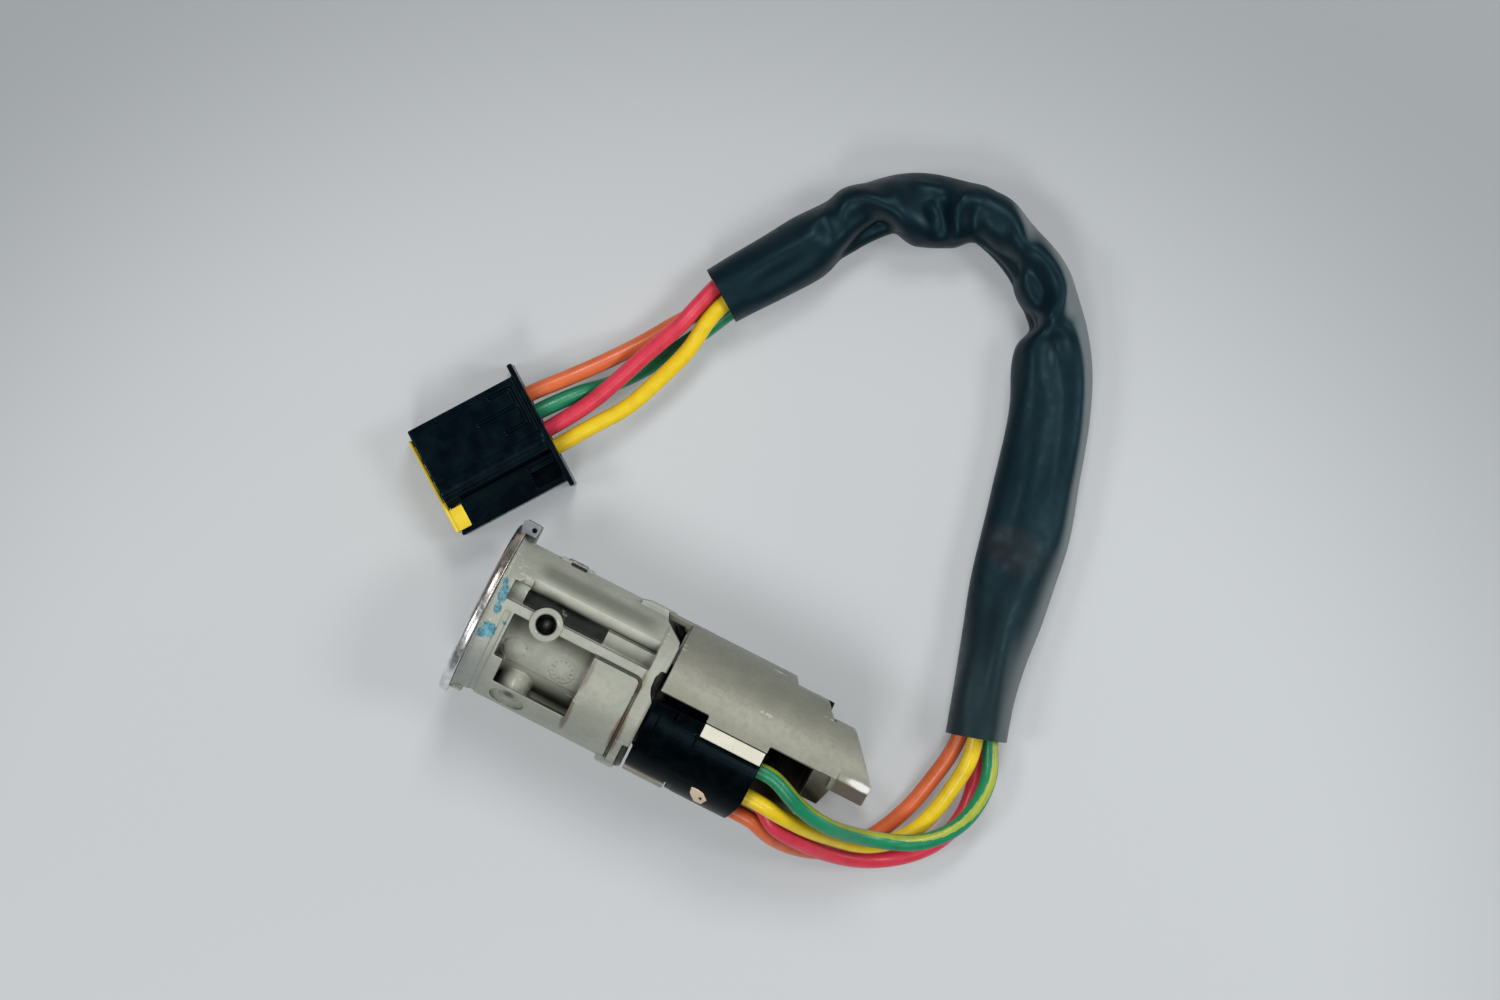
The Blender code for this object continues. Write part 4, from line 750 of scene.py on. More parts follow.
def make_sleeve():
    step = 0.65
    sides = 120
    line, length = smooth([(*plan(px, py), SLEEVE_H) for px, py in SLEEVE_PLAN], step)
    outer = spline2([plan(*p) for p in OUTER_EDGE])
    inner = spline2([plan(*p) for p in INNER_EDGE])
    n = len(line)
    wo, wi = np.zeros(n), np.zeros(n)
    frames = []
    for i, c in enumerate(line):
        t = (line[min(i + 2, n - 1)] - line[max(i - 2, 0)]).normalized()
        side = Vector((t.y, -t.x, 0.0)).normalized()
        frames.append((c, t, side))
        a = polyline_hit(c, side, inner)
        b = polyline_hit(c, -side, outer)
        wi[i] = a if a is not None else (wi[i - 1] if i else 7.2)
        wo[i] = b if b is not None else (wo[i - 1] if i else 7.2)
    for arr, rounds in ((wi, 2), (wo, 8)):
        for _ in range(rounds):
            arr[1:-1] = (arr[:-2] + 2 * arr[1:-1] + arr[2:]) / 4
    wi = np.clip(wi, 3.4, 11.5)
    wo = np.clip(wo, 5.6, 11.5)
    cen = np.array([[f[0].x, f[0].y, f[0].z] for f in frames])
    sid = np.array([[f[2].x, f[2].y, 0.0] for f in frames])
    tan = np.array([[f[1].x, f[1].y, 0.0] for f in frames])
    ang = 2 * math.pi * np.arange(sides) / sides
    ca, sa = np.cos(ang)[None, :], np.sin(ang)[None, :]
    arc_s = length * np.arange(n) / (n - 1)
    end = np.clip(np.minimum(arc_s, length - arc_s) / 12.0, 0.0, 1.0)[:, None]
    mean = ((wi + wo) / 2)[:, None]
    # the tube keeps its girth: where it is wider it is also flatter
    girth = 8.3 * np.minimum(1.0, 0.905 + 0.095 * arc_s / 30.0)[:, None]
    h_top = np.clip(2 * girth - mean, 4.8, 8.9)
    h_low = 8.15 + 0 * h_top
    w = np.where(ca > 0, wi[:, None], wo[:, None])
    h = np.where(sa > 0, h_top, h_low)
    p = 2.15
    r = ((np.abs(ca) / w) ** p + (np.abs(sa) / h) ** p) ** (-1 / p)
    rng = np.random.default_rng(7)
    wave = np.zeros((n, sides))
    for _ in range(16):
        f, m, ph, amp = rng.uniform(0.04, 0.30), rng.integers(1, 5), rng.uniform(0, 6.28), rng.uniform(0.05, 0.16)
        wave += amp * np.sin(f * arc_s[:, None] + m * ang[None, :] + ph)
    r += wave * 0.5 * (0.35 + 0.65 * end)
    top = np.clip((sa + 0.45) / 0.8, 0.0, 1.0)
    top = top * top * (3 - 2 * top)
    x = cen[:, 0:1] + sid[:, 0:1] * (r * ca)
    y = cen[:, 1:2] + sid[:, 1:2] * (r * ca)
    move = np.zeros((n, sides))
    for pts, width, amp in PLEATS:
        dense, _ = smooth([(*plan(*q), 0.0) for q in pts], 0.5, rounds=4, per=12)
        arr = np.array([(q.x, q.y) for q in dense])
        taper = np.sin(np.linspace(0.06, 0.94, len(arr)) * math.pi) ** 0.6
        lo, hi = arr.min(0) - width * 3, arr.max(0) + width * 3
        near = np.where((x > lo[0]) & (x < hi[0]) & (y > lo[1]) & (y < hi[1]))
        if not len(near[0]):
            continue
        d = np.hypot(x[near][:, None] - arr[:, 0][None], y[near][:, None] - arr[:, 1][None])
        j = d.argmin(1)
        dist = d[np.arange(len(j)), j]
        move[near] += 1.35 * amp * taper[j] * np.exp(-(dist / width) ** 2)
    r += move * top

    # least radius that keeps the wall off every wire
    least = np.zeros((n, sides))
    rho = WIRE_D / 2 + 0.62
    for path in WIRE_PATHS.values():
        pts = np.array([tuple(q) for q in path])
        for i in range(n):
            d = pts - cen[i]
            along = d @ tan[i]
            near = (np.abs(along) < 2.2) & (np.abs(d @ sid[i]) < 8.5)
            if not near.any():
                continue
            q = d[near][np.argsort(np.abs(along[near]))[:3]]
            for v in q:
                u0, v0 = v @ sid[i], v[2]
                dot = u0 * ca[0] + v0 * sa[0]
                perp = np.abs(-u0 * sa[0] + v0 * ca[0])
                hit = (perp < rho) & (dot > 0)
                rr = np.where(hit, dot + np.sqrt(np.maximum(rho ** 2 - perp ** 2, 0)), 0)
                least[i] = np.maximum(least[i], rr)

    def relax(g, k):
        out = g.copy()
        out[1:-1] = (1 - k) * g[1:-1] + k * 0.25 * (g[:-2] + g[2:] + np.roll(g, 1, 1)[1:-1] + np.roll(g, -1, 1)[1:-1])
        return out
    # the wires' own shapes are softened first, so that they don't print through the skin
    swell = least.copy()
    for _ in range(14):
        swell = np.maximum(relax(swell, 0.7), least)
    r = np.maximum(relax(r, 0.5), swell)
    for _ in range(6):
        r = np.maximum(relax(r, 0.5), least)
    r = np.maximum(relax(r, 0.3), least - 0.12)
    floor_r = np.where(sa < -0.05, (SLEEVE_H - 0.22) / np.maximum(-sa, 0.05), 99.0)
    r = np.minimum(r, floor_r)
    r = np.minimum(r, 12.0)
    grid = cen[:, None, :] + sid[:, None, :] * (r * ca)[:, :, None]
    grid[:, :, 2] += r * sa
    skin_r = r - 0.5
    skin = cen[:, None, :] + sid[:, None, :] * (skin_r * ca)[:, :, None]
    skin[:, :, 2] += skin_r * sa
    allv = np.concatenate([grid.reshape(-1, 3), skin.reshape(-1, 3)])
    faces = []
    off = n * sides
    for i in range(n - 1):
        for k in range(sides):
            j = (k + 1) % sides
            faces.append((i * sides + k, (i + 1) * sides + k, (i + 1) * sides + j, i * sides + j))
            faces.append((off + i * sides + k, off + i * sides + j, off + (i + 1) * sides + j, off + (i + 1) * sides + k))
    for k in range(sides):
        j = (k + 1) % sides
        faces.append((k, j, off + j, off + k))
        e = (n - 1) * sides
        faces.append((e + k, off + e + k, off + e + j, e + j))
    ob = fixed(mesh_object("folded_sleeve", allv.tolist(), faces, SLEEVE))
    ob.data.shade_smooth()
    ob.data.set_sharp_from_angle(angle=math.radians(60))
    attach(ob, "root")
    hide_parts("cable_sleeve")
    return ob


sleeve_ob = make_sleeve()


# ---------------------------------------------------------------- solid modelling helpers
SEG = 108


def lathe(name, profile, n=SEG, a0=0.0):
    verts, rings = [], []
    for x, r in profile:
        if r < 1e-6:
            rings.append([len(verts)])
            verts.append((x, 0.0, 0.0))
        else:
            ring = []
            for i in range(n):
                a = a0 + 2 * math.pi * i / n
                ring.append(len(verts))
                verts.append((x, r * math.cos(a), r * math.sin(a)))
            rings.append(ring)
    faces = []
    m = len(profile)
    for k in range(m):
        p, q = rings[k], rings[(k + 1) % m]
        if len(p) == 1 and len(q) == 1:
            continue
        for i in range(n):
            j = (i + 1) % n
            if len(p) == 1:
                faces.append((p[0], q[j], q[i]))
            elif len(q) == 1:
                faces.append((p[i], p[j], q[0]))
            else:
                faces.append((p[i], p[j], q[j], q[i]))
    return fixed(mesh_object(name, verts, faces))


def prism(name, outline, lo, hi, axis="X"):
    def at(p, t):
        if axis == "X":
            return (t, p[0], p[1])
        if axis == "Y":
            return (p[0], t, p[1])
        return (p[0], p[1], t)
    n = len(outline)
    verts = [at(p, lo) for p in outline] + [at(p, hi) for p in outline]
    faces = [tuple(range(n)), tuple(range(n, 2 * n))]
    for i in range(n):
        j = (i + 1) % n
        faces.append((i, j, n + j, n + i))
    return fixed(mesh_object(name, verts, faces))


def box(name, x0, x1, y0, y1, z0, z1):
    return prism(name, [(y0, z0), (y1, z0), (y1, z1), (y0, z1)], x0, x1)


def rod(name, p0, p1, r, n=48, r1=None):
    p0, p1 = Vector(p0), Vector(p1)
    d = (p1 - p0).normalized()
    side = d.orthogonal().normalized()
    up = d.cross(side)
    if r1 is None:
        r1 = r
    verts = []
    for c, rr in ((p0, r), (p1, r1)):
        for i in range(n):
            a = 2 * math.pi * i / n
            verts.append(tuple(c + side * (rr * math.cos(a)) + up * (rr * math.sin(a))))
    faces = [tuple(range(n)), tuple(range(n, 2 * n))]
    for i in range(n):
        j = (i + 1) % n
        faces.append((i, j, n + j, n + i))
    return fixed(mesh_object(name, verts, faces))


def arc(r, a0, a1, step=360.0 / SEG):
    lo, hi = min(a0, a1), max(a0, a1)
    marks = [lo] + [k * step for k in range(math.ceil(lo / step + 0.02), math.floor(hi / step - 0.02) + 1)] + [hi]
    out = []
    for a in marks:
        out.append((r * math.cos(math.radians(a)), r * math.sin(math.radians(a))))
    return out if a0 <= a1 else out[::-1]


def sector(name, r0, r1, a0, a1, x0, x1, step=360.0 / SEG):
    return prism(name, arc(r1, a0, a1, step) + arc(r0, a1, a0, step), x0, x1)


def boolean(target, tool, op="DIFFERENCE"):
    mod = target.modifiers.new("cut", "BOOLEAN")
    mod.operation = op
    mod.solver = "EXACT"
    mod.object = tool
    dg = bpy.context.evaluated_depsgraph_get()
    me = bpy.data.meshes.new_from_object(target.evaluated_get(dg))
    target.modifiers.clear()
    old = target.data
    target.data = me
    bpy.data.meshes.remove(old)
    bpy.data.objects.remove(tool, do_unlink=True)
    return target


def cut(target, *tools):
    for t in tools:
        boolean(target, t, "DIFFERENCE")
    return target


def join(target, *tools):
    for t in tools:
        boolean(target, t, "UNION")
    return target


def applied(ob, *mods):
    """Apply modifiers given as (kind, settings) pairs."""
    for kind, kw in mods:
        m = ob.modifiers.new("m", kind)
        for k, v in kw.items():
            setattr(m, k, v)
        dg = bpy.context.evaluated_depsgraph_get()
        me = bpy.data.meshes.new_from_object(ob.evaluated_get(dg))
        ob.modifiers.clear()
        old = ob.data
        ob.data = me
        bpy.data.meshes.remove(old)
    return ob


def cast_skin(ob, voxel, rounds=3, limit=90000):
    """Give a solid the soft corners of a cast or moulded part."""
    applied(ob, ("REMESH", dict(mode="VOXEL", voxel_size=voxel * MM, adaptivity=0.0)),
            ("SMOOTH", dict(factor=0.5, iterations=rounds)))
    quads = len(ob.data.polygons)
    if quads > limit:
        applied(ob, ("DECIMATE", dict(ratio=limit / quads)))
    return ob


def placed(ob, name, mat, body, nodes, world=TO_ROW, smooth_angle=None):
    ob.name = name
    ob.data.name = name
    ob.data.transform(world)
    ob.data.materials.clear()
    ob.data.materials.append(mat)
    ob.data.polygons.foreach_set("material_index", [0] * len(ob.data.polygons))
    ob.data.shade_smooth()
    if smooth_angle:
        ob.data.set_sharp_from_angle(angle=math.radians(smooth_angle))
    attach(ob, body)
    if nodes:
        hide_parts(*nodes)
    return ob


# ---------------------------------------------------------------- front casting
CORE_R = 10.7
FRONT_R, COLLAR_R = 19.1, 19.6
FRONT_X0, FRONT_X1, COLLAR_X = 2.7, 47.3, 34.5
REAR_BORE_R = 12.5


def make_lock_housing():
    ob = lathe("h", [
        (2.45, CORE_R), (2.45, 20.6), (2.75, 20.0), (3.3, 19.6), (4.2, 19.3), (5.4, FRONT_R), (42.7, FRONT_R),
        (43.3, COLLAR_R), (FRONT_X1 - 0.6, COLLAR_R), (FRONT_X1, COLLAR_R - 0.6),
        (FRONT_X1, REAR_BORE_R), (40.6, REAR_BORE_R), (40.6, CORE_R)])
    # long recess between the half-round flank and the rib, with a deep window in it
    cut(ob,
        box("c", 5.5, 43.2, 5.1, 10.0, 14.6, 30),
        box("c", 9.4, 30.5, 5.4, 9.2, 11.0, 30))
    shoulder = [(12.9 + 4.0 * math.cos(math.radians(a)), 10.9 + 4.0 * math.sin(math.radians(a)))
                for a in range(180, 94, -5)]
    cut(ob, prism("c", [(8.9, 30)] + shoulder + [(12.55, 30)], 9.6, 43.0))
    # the flank's collar starts sooner than the band's
    join(ob, prism("j", [(34.3, 16.0), (34.3, 19.03), (35.4, 19.3), (36.4, 19.57), (43.2, 19.57), (43.2, 16.0)],
                   -6.5, 6.5, "Z"))
    # soft hollow that frees the flank's rounded end from the band
    cut(ob, rod("c", (7.9, 9.2, 16.4), (9.7, 13.6, 17.2), 1.5, 40))

    def pocket(r, y_hi, y_lo):
        return arc(r, math.degrees(math.acos(y_hi / r)), math.degrees(math.acos(y_lo / r)))
    cut(ob,
        prism("c", pocket(13.2, 2.8, -8.2) + [(-8.2, 30), (2.8, 30)], 8.9, 30.5),
        prism("c", pocket(13.1, -7.9, -12.3) + [(-14.0, 4.55), (-14.0, 31), (-7.9, 31)], 11.3, 30.4))
    # groove along the rib that turns down round the smooth band
    def bend(r):
        return [(41.3 + r * math.sin(math.radians(t)), 0.75 + r * math.cos(math.radians(t))) for t in range(0, 91, 10)]
    cut(ob, prism("c", [(30.0, 2.9)] + bend(2.15) + [(43.45, -0.9), (42.6, -0.9)] + bend(1.3)[::-1] + [(30.0, 2.05)],
                  17.75, 30, "Z"))
    cut(ob, sector("c", 18.15, 25, 91.5, 205, 42.6, 43.45))
    cut(ob,
        prism("c", [(40.9, 30), (40.9, 19.9), (42.1, 17.2), (44.5, 15.5), (46.8, 14.0), (47.1, 12.9),
                    (60, 12.9), (60, 30)], -6.0, 30, "Z"),
        prism("c", [(45.35, 4.4), (46.1, 6.3), (60, 6.5), (60, -1.7), (47.6, -1.8), (46.1, 0.3), (45.5, 1.8)],
              13.2, 30, "Z"),
        box("c", 45.6, 60, -30, -13.5, 2.0, 30))
    # shallow step behind the face ring
    cut(ob, sector("c", 18.75, 25, 82, 200, 6.6, 8.2))
    join(ob, rod("j", (16.8, 3.7, 11.0), (16.8, 3.7, 19.3), 4.0, 72))
    ry, rz = -0.891, 0.454
    join(ob, rod("j", (16.1, 11.6 * ry, 11.6 * rz), (16.1, 17.9 * ry, 17.9 * rz), 4.2, 72, 4.0))
    cut(ob,
        rod("c", (16.1, 17.9 * ry, 17.9 * rz), (16.1, 27 * ry, 27 * rz), 4.45, 72),
        rod("c", (16.1, 12.6 * ry, 12.6 * rz), (16.1, 27 * ry, 27 * rz), 2.05, 40),
        rod("c", (16.1, 17.2 * ry, 17.2 * rz), (16.1, 18.3 * ry, 18.3 * rz), 2.05, 40, 2.8),
        rod("c", (16.8, 3.7, 11.7), (16.8, 3.7, 30), 2.45, 56),
        rod("c", (16.8, 3.7, 18.7), (16.8, 3.7, 19.8), 2.4, 56, 3.0))
    # thread turns in the screw boss
    for i in range(5):
        q = 13.5 + 0.85 * i
        cut(ob, rod("c", (16.1, q * ry, q * rz), (16.1, (q + 0.42) * ry, (q + 0.42) * rz), 2.05, 40, 2.5))
    join(ob,
         box("j", 2.5, 5.3, 17.5, 23.4, -3.5, 3.5),
         prism("j", [(0.9, 20.4), (0.7, 22.9), (1.4, 23.6), (4.6, 23.5), (5.2, 22.6), (4.9, 20.4)], -3.0, 5.9, "Z"),
         box("j", 2.5, 5.3, -20.4, -17.5, -3.0, 3.0),
         box("j", 2.5, 5.5, -5.5, 5.5, -22.1, -17.0),
         box("j", 41.0, 45.8, -20.3, -17.5, -3.5, 3.5))
    cut(ob, rod("c", (3.9, 21.9, 3.6), (3.9, 21.9, 8), 0.62, 24))
    join(ob, box("j", 12.6, 21.0, 17.0, 19.45, -3.4, 3.4))
    cut(ob, box("c", 13.2, 20.4, 12.6, 30, -2.6, 2.6))
    # the lip round the button is open for a short slot on its upper side
    cut(ob, box("c", 15.2, 19.4, 18.45, 19.15, 1.0, 5.5))

    # moulding marks in the pocket floor: a ring, and a second one with plain radial ticks
    def floor_ring(x, y, r0, r1, depth):
        z = math.sqrt(13.2 ** 2 - y * y)
        nrm = Vector((0, y, z)).normalized()
        c = Vector((x, y, z))
        tool = rod("c", tuple(c - nrm * depth), tuple(c + nrm * 1.2), r1, 56)
        if r0 > 0:
            cut(tool, rod("c", tuple(c - nrm * (depth + 1)), tuple(c + nrm * 2), r0, 56))
        return tool, c, nrm
    cut(ob, floor_ring(12.4, -4.9, 2.75, 3.1, 0.5)[0])
    tool, c, nrm = floor_ring(25.0, -4.6, 3.3, 3.65, 0.6)
    cut(ob, tool)
    ux, uy = Vector((1, 0, 0)), nrm.cross(Vector((1, 0, 0)))
    for i in range(12):
        a = 2 * math.pi * i / 12
        d = ux * math.cos(a) + uy * math.sin(a)
        e = uy * math.cos(a) - ux * math.sin(a)
        pts = []
        for q, w in ((2.0, -0.2), (2.9, -0.2), (2.9, 0.2), (2.0, 0.2)):
            for h in (-0.45, 0.6):
                pts.append(tuple(c + d * q + e * w + nrm * h))
        t = mesh_object("c", pts, [(0, 2, 4, 6), (1, 7, 5, 3), (0, 1, 3, 2), (2, 3, 5, 4), (4, 5, 7, 6), (6, 7, 1, 0)])
        cut(ob, fixed(t))
    cast_skin(ob, 0.20, 2, 86000)
    return placed(ob, "front_casting", ZINC, "root", ["lock_housing"])


make_lock_housing()


# ---------------------------------------------------------------- rear casting
BOLT_ANGLE = math.radians(-52.0)
BD = Vector((0, math.cos(BOLT_ANGLE), math.sin(BOLT_ANGLE)))
BE = Vector((0, -math.sin(BOLT_ANGLE), math.cos(BOLT_ANGLE)))
REAR_R, REAR_IN, REAR_X0 = 19.4, 16.2, 47.9
BOLT_W, GAP = 6.0, 0.3


def bolt_box(name, s0, s1, e0, e1, x0, x1):
    pts = []
    for s, e in ((s0, e0), (s1, e0), (s1, e1), (s0, e1)):
        v = BD * s + BE * e
        pts.append((v.y, v.z))
    return prism(name, pts, x0, x1)


def make_rear_housing():
    lip = math.degrees(math.acos(2.2 / REAR_R))
    lip2 = math.degrees(math.acos(0.3 / REAR_R))
    ob = sector("h", REAR_IN, REAR_R, lip, -150, REAR_X0, 90.0)
    join(ob,
         sector("j", REAR_IN + 0.06, REAR_R - 0.012, lip2, 63, 60.8, 76.9),
         sector("j", REAR_IN + 0.06, REAR_R - 0.06, -143, -200, REAR_X0 + 0.1, 58.6))
    join(ob,
         sector("j", 10.9, REAR_IN + 1.0, 75, -145, 48.3, 50.2),
         lathe("j", [(43.6, 10.5), (43.6, 12.2), (49.9, 12.2), (49.9, 10.5)]))
    join(ob, sector("j", 12.15, 18.4, 61, -139, 47.36, 49.3))
    join(ob, prism("j", [(42.35, 17.55), (41.6, 19.25), (49.5, 19.25), (49.5, 16.6), (46.9, 16.6), (46.3, 17.55)],
                   -4.5, 4.5, "Z"))
    wall = [(2.3, 19.2)] + arc(REAR_R - 0.02, lip - 0.5, -104)[1:] + [(-5.4, -18.6), (-5.8, 3.0), (2.0, 14.5)]
    join(ob, prism("j", wall, 88.6, 94.2))
    tip = [(4.4, 18.7)] + arc(REAR_R - 0.008, 76.5, -38)[1:] + [(10.0, -12.0), (-0.9, -12.0), (-0.9, 15.4), (2.3, 18.4)]
    join(ob, prism("j", tip, 93.0, LOCK_LENGTH))
    join(ob, bolt_box("j", 7.6, 18.6, -5.2, 5.2, 79.2, 89.0))
    join(ob, box("j", 60.0, 93.8, -5.0, 5.0, -22.1, -17.6))
    cut(ob, prism("c", [(75.3, 19.6), (76.9, 17.4), (85.1, 17.4), (88.0, 14.0), (94.0, 14.0), (102.7, 4.1),
                        (110, 4.1), (110, 30), (75.3, 30)], -30, 30, "Z"))
    cut(ob, prism("c", [(93.0, -6.5), (94.4, -0.9), (94.4, -9.0), (100, -9.0), (100, -30), (93.0, -30)],
                  -30, 30, "Z"))
    cut(ob, bolt_box("c", 5.0, 40.0, -BOLT_W / 2 - GAP, BOLT_W / 2 + GAP, 80.7, 87.3))
    cast_skin(ob, 0.23, 2, 62000)
    return placed(ob, "rear_casting", ZINC2, "root", ["rear_housing"])


make_rear_housing()


# ---------------------------------------------------------------- turned and small metal pieces
def make_ring():
    ob = lathe("r", [(0.0, 15.3), (0.0, 20.9), (0.12, 21.35), (0.4, 21.72), (0.8, 21.93), (1.15, 22.0), (2.05, 22.0),
                     (2.28, 21.92), (2.4, 21.75), (2.4, 15.2), (0.2, 15.2)], 160)
    return placed(ob, "polished_ring", RING, "root", ["face_ring"], smooth_angle=40)


make_ring()
placed(lathe("d", [(0.9, 11.2), (0.9, 14.4), (1.0, 14.75), (1.25, 14.9), (2.4, 14.9), (2.4, 11.2)], 120),
       "dial", BLACK, "root", ["dial_plate"], smooth_angle=35)
cap = lathe("c", [(0.35, 0.0), (0.35, 10.1), (0.42, 10.4), (0.65, 10.6), (1.2, 10.6), (1.2, 0.0)], 120)
cut(cap, box("c", -1, 5, -1.4, 1.4, -4.4, 4.4))
placed(cap, "plug_face", STEEL, "plug", ["plug_cap"], smooth_angle=30)

pin = lathe("p", [(0, 0), (0, 2.05), (0.7, 2.1), (0.9, 1.75), (1.4, 1.7), (2.0, 1.45), (2.5, 0.95), (2.7, 0.45), (2.75, 0)],
            48)
placed(pin, "cross_pin", STEEL, "root", ["cylinder_pin"],
       TO_ROW @ Matrix.Translation((16.8 * MM, 3.7 * MM, 12.0 * MM)) @ Matrix.Rotation(-math.pi / 2, 4, "Y"), 40)

but = box("b", 13.5, 20.1, 15.6, 19.3, -2.3, 2.3)
join(but, prism("j", [(14.0, 19.0), (19.6, 19.0), (19.2, 19.85), (14.4, 19.85)], -2.0, 2.0, "Z"))
cut(but, box("c", 15.6, 18.3, 19.4, 22, -1.1, 1.1))
cast_skin(but, 0.14, 1, 30000)
placed(but, "side_button", DARKSTEEL, "button", ["retaining_button"])

# the spring under the button
coil = []
for i in range(91):
    a = 2 * math.pi * 3.0 * i / 90
    coil.append(Vector((AXIS_X + 16.8 + 1.3 * math.cos(a), AXIS_Y + 13.45 + 1.55 * i / 90, AXIS_Z + 1.3 * math.sin(a))))
spring = swept("coil_spring", coil, 0.25, 12, [STEEL])
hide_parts("button_spring")
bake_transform(spring)

bolt = bolt_box("b", 4.0, 24.2, -3.0, 3.0, 81.0, 87.0)
join(bolt, bolt_box("j", -1.2, 6.6, -3.0, 7.2, 81.0, 87.0), bolt_box("j", 22.0, 25.0, -2.3, 2.3, 81.7, 86.3))
CRANK_R, KEY_TURN = 3.8, 100.0
S0 = CRANK_R * math.sin(math.radians(KEY_TURN / 2))
E0 = CRANK_R * math.cos(math.radians(KEY_TURN / 2))
cut(bolt, bolt_box("c", S0 - 2.0, S0 + 2.0, E0 - 2.05, CRANK_R + 2.05, 79, 90))
applied(bolt, ("BEVEL", dict(width=0.25 * MM, segments=2, limit_method="ANGLE", angle_limit=math.radians(40))))
placed(bolt, "lock_bolt", OILY, "bolt", ["steering_bolt"], smooth_angle=30)


# ---------------------------------------------------------------- contact module
SWITCH_R, SWITCH_OUT, SWITCH_X1 = 15.9, 18.9, 77.0


def make_switch_body():
    def outline(r_in, r_out, a0, a1):
        return arc(r_out, a0, a1) + arc(r_in, a1 + 0.01, a0 + 359.99)
    ob = prism("h", outline(SWITCH_R, SWITCH_OUT, 100.8, 206.5), 60.6, SWITCH_X1)
    join(ob,
         prism("j", outline(SWITCH_R - 0.03, SWITCH_OUT - 0.03, 90.6, 156.8), 50.5, 60.9),
         sector("j", 13.6, SWITCH_OUT - 0.06, 90.9, 156.5, REAR_X0, 51.5),
         sector("j", 13.8, SWITCH_OUT - 0.1, 152, 205.8, 59.0, 61.5))
    cut(ob,
        rod("c", (45.0, 0, 0), (73.0, 0, 0), 13.4, 90),
        rod("c", (70.0, 0, 0), (90.0, 0, 0), 3.7, 40))
    cut(ob, sector("c", 8.0, 17.75, 103, 199, 70.0, 73.0))
    cut(ob, box("c", 53.6, 54.4, -2.6, 3.0, 17.3, 25))
    cut(ob, prism("c", [(SWITCH_X1 + 1, -14.0), (SWITCH_X1 + 1, -30), (74.0, -30), (75.2, -19.2), (SWITCH_X1 + 0.05, -14.2)],
                  -30, 30, "Z"))
    cut(ob, box("c", 66.2, 70.0, -2.9, 0.6, 10.0, 30))
    for y, z in WIRES.values():
        cut(ob, rod("c", (71.5, y, z), (85, y, z), WIRE_D / 2 + 0.32, 40))
    # shallow ledge under the strip and a moulded line along the wall
    cut(ob, sector("c", 18.6, 25, 100.0, 101.6, 60.0, 76.2))
    cut(ob, sector("c", 18.5, 25, 141.0, 142.6, 56.0, 64.0))
    cast_skin(ob, 0.20, 1, 50000)
    return placed(ob, "contact_module", BLACK, "root", ["switch_body"])


make_switch_body()


TAB = [(64.7, 143.0), (66.4, 142.4), (68.0, 143.9), (69.5, 151.0), (68.7, 163.0), (66.6, 163.4), (65.0, 152.0)]


def make_carrier():
    ob = lathe("h", [(66.5, 4.6), (66.5, 13.1), (69.7, 13.1), (69.7, 4.6)], 60)
    join(ob,
         box("j", 66.5, 69.7, -2.5, -0.1, 11.0, 18.0),
         prism("j", [(-2.72, 16.25), (0.08, 16.25), (0.08, 19.15), (-3.1, 18.85), (-3.28, 18.6), (-3.22, 18.0)], 60.95, 76.7))
    ta = math.radians(160.0)
    t = Vector((0, math.cos(ta), math.sin(ta)))
    u = Vector((0, -math.sin(ta), math.cos(ta)))

    def block(s0, s1, e0, e1, x0, x1):
        pts = []
        for s, e in ((s0, e0), (s1, e0), (s1, e1), (s0, e1)):
            v = t * s + u * e
            pts.append((v.y, v.z))
        return prism("j", pts, x0, x1)
    join(ob, block(12.0, 18.3, -1.55, 1.55, 66.5, 69.5))
    # the tab lies on the module's round wall
    verts = []
    for r in (17.6, 19.12):
        for x, a in TAB:
            verts.append((x, r * math.cos(math.radians(a)), r * math.sin(math.radians(a))))
    n = len(TAB)
    faces = [tuple(range(n)), tuple(range(n, 2 * n))] + [(i, (i + 1) % n, n + (i + 1) % n, n + i) for i in range(n)]
    tab = fixed(mesh_object("tab", verts, faces))
    applied(tab, ("BEVEL", dict(width=0.3 * MM, segments=3, limit_method="ANGLE", angle_limit=math.radians(30))))
    placed(tab, "module_tab", CREAM2, "root", [], smooth_angle=40)
    cast_skin(ob, 0.16, 1, 20000)
    return placed(ob, "cream_carrier", CREAM, "root", ["contact_carrier"])


make_carrier()


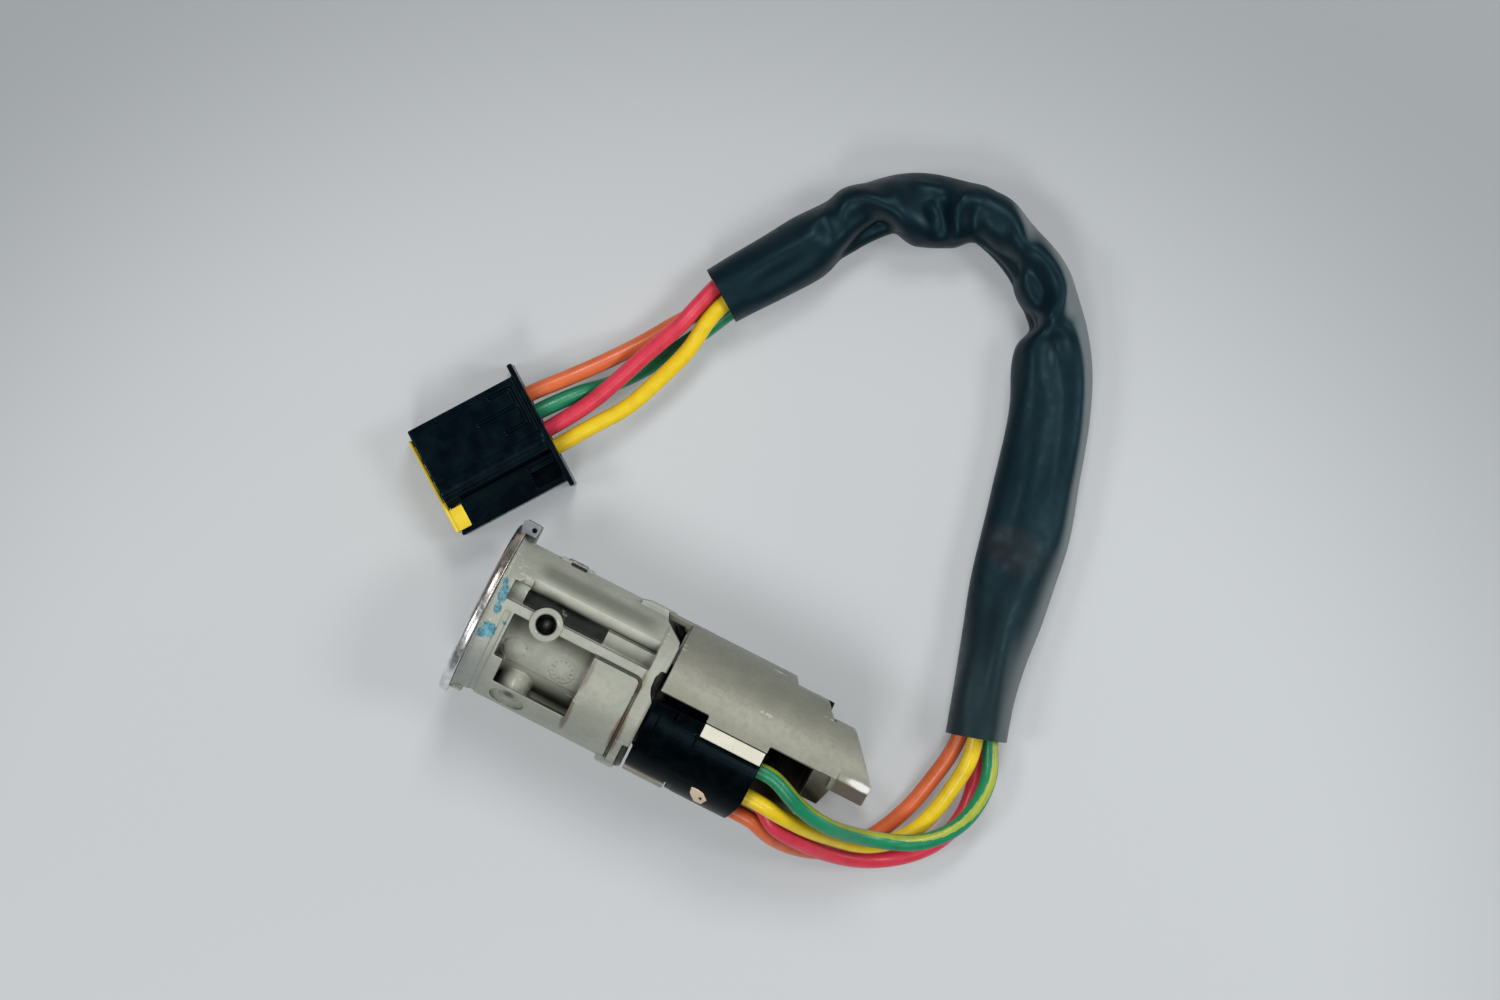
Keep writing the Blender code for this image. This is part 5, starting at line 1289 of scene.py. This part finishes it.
# ---------------------------------------------------------------- connector
def make_connector():
    ob = box("h", -17.8, 11.6, -5.2, 14.4, 0.0, 16.4)
    join(ob,
         box("j", -17.8, 11.6, -13.9, -4.8, 0.0, 13.2),
         rod("j", (-17.8, -1.9, 13.75), (11.6, -1.9, 13.75), 3.3, 96),
         box("j", 10.7, 12.0, -15.6, 17.3, 0.0, 17.2))
    for k in range(4):
        y = CON_Y0 - CON_PITCH * k
        cut(ob, box("c", -30, 4.0, y - 1.85, y + 1.85, 5.6, 12.4))
    y_hi, y_lo = CON_Y0 + 2.6, CON_Y0 - 3 * CON_PITCH - 2.6
    cut(ob, box("c", 3.4, 30, y_lo, y_hi, 6.1, 11.9))
    cut(ob,
        box("c", -30, -14.3, -12.9, -6.6, 8.6, 30),
        box("c", 3.6, 10.2, -12.2, -8.4, 9.4, 30),
        box("c", 3.6, 10.2, -8.6, -6.9, 12.5, 30),
        box("c", -14.0, 11.0, -5.75, -5.15, 12.55, 15.5),
        box("c", 8.4, 9.3, 2.6, 12.6, 15.7, 30),
        box("c", 3.0, 9.0, 11.8, 12.6, 15.7, 30),
        box("c", -2.0, 9.0, 7.4, 8.2, 15.7, 30),
        box("c", 3.0, 9.0, 2.6, 3.4, 15.7, 30),
        box("c", -12.0, -9.0, -16, -13.3, 2.0, 6.0))
    cast_skin(ob, 0.22, 4, 65000)
    return placed(ob, "connector_shell", CONNECTOR, "root", ["connector_housing"], CON_ROWS)


connector = make_connector()

lockpiece = box("h", -18.85, -18.1, -12.6, 12.2, 3.0, 14.2)
for k in range(4):
    y = CON_Y0 - CON_PITCH * k
    cut(lockpiece, box("c", -30, 0, y - 1.65, y + 1.65, 6.0, 12.0))
join(lockpiece, box("j", -18.6, -14.6, -12.6, -6.9, 8.9, 13.4))
cast_skin(lockpiece, 0.16, 1, 60000)
placed(lockpiece, "yellow_lock", YELLOW, "secondary_lock", ["connector_lock"], CON_ROWS)

# ---------------------------------------------------------------- wires: each one's entry and path are looked up and not used
for colour, ob in WIRE_OBS.items():
    y, z = WIRES[colour]
    path = WIRE_PATHS[colour]

# ---------------------------------------------------------------- floor and light
floor = mesh_object("floor", [(-3, -3, 0), (3, -3, 0), (3, 3, 0), (-3, 3, 0)], [(0, 1, 2, 3)], None, 1.0)
fm, fnt, fb = shader("floor_look")
# pale sheet with painted shade: a little darker towards its far corners
corner_shade = calc(fnt, "MULTIPLY",
           span(fnt, vcalc(fnt, "LENGTH", vcalc(fnt, "SUBTRACT", coords(fnt), (0.035, -0.075, 0.0))), 0.16, 0.30),
           0.95)
fcol = mix(fnt, corner_shade, mix(fnt, noise_tex(fnt, 2.5, 2.0), (0.400, 0.420, 0.432), (0.415, 0.433, 0.445)),
           (0.235, 0.250, 0.260))
fnt.links.new(fcol, fb.inputs["Base Color"])
fb.inputs["Roughness"].default_value = 0.9
fb.inputs["Specular IOR Level"].default_value = 0.05
fnt.links.new(fcol, fb.inputs["Emission Color"])
fb.inputs["Emission Strength"].default_value = 0.42
floor.data.materials.append(fm)

world = bpy.data.worlds.new("world")
scene.world = world
world.use_nodes = True
bg = world.node_tree.nodes["Background"]
bg.inputs["Color"].default_value = (0.90, 0.95, 1.0, 1.0)
bg.inputs["Strength"].default_value = 0.15


def area(name, loc, aim, size, power, colour=(1, 1, 1), size_y=None):
    d = bpy.data.lights.new(name, "AREA")
    d.shape = "RECTANGLE"
    d.size = size
    d.size_y = size_y or size
    d.energy = power
    d.color = colour
    o = bpy.data.objects.new(name, d)
    o.location = loc
    o.rotation_euler = (Vector(aim) - Vector(loc)).to_track_quat("-Z", "Y").to_euler()
    scene.collection.objects.link(o)
    return o


# four soft boxes round the camera, turned with the frame
for name, right, up, power in (("top", 0.12, 0.78, 6.4), ("bottom", -0.12, -0.78, 5.0), ("east", 0.80, 0.1, 4.6),
                               ("west", -0.80, -0.1, 4.2)):
    x = right * math.cos(TURN) - up * math.sin(TURN)
    y = right * math.sin(TURN) + up * math.cos(TURN)
    area(name, (x - 0.005, y + 0.05, 1.12), (0.0, 0.04, 0.0), 0.36, power, (1.0, 0.99, 0.975))
area("rim", (0.62, 0.46, 0.15), (0.03, 0.07, 0.01), 0.30, 1.5, (0.95, 0.98, 1.0), 0.12)
scene.view_settings.view_transform = "Standard"
scene.view_settings.look = "None"
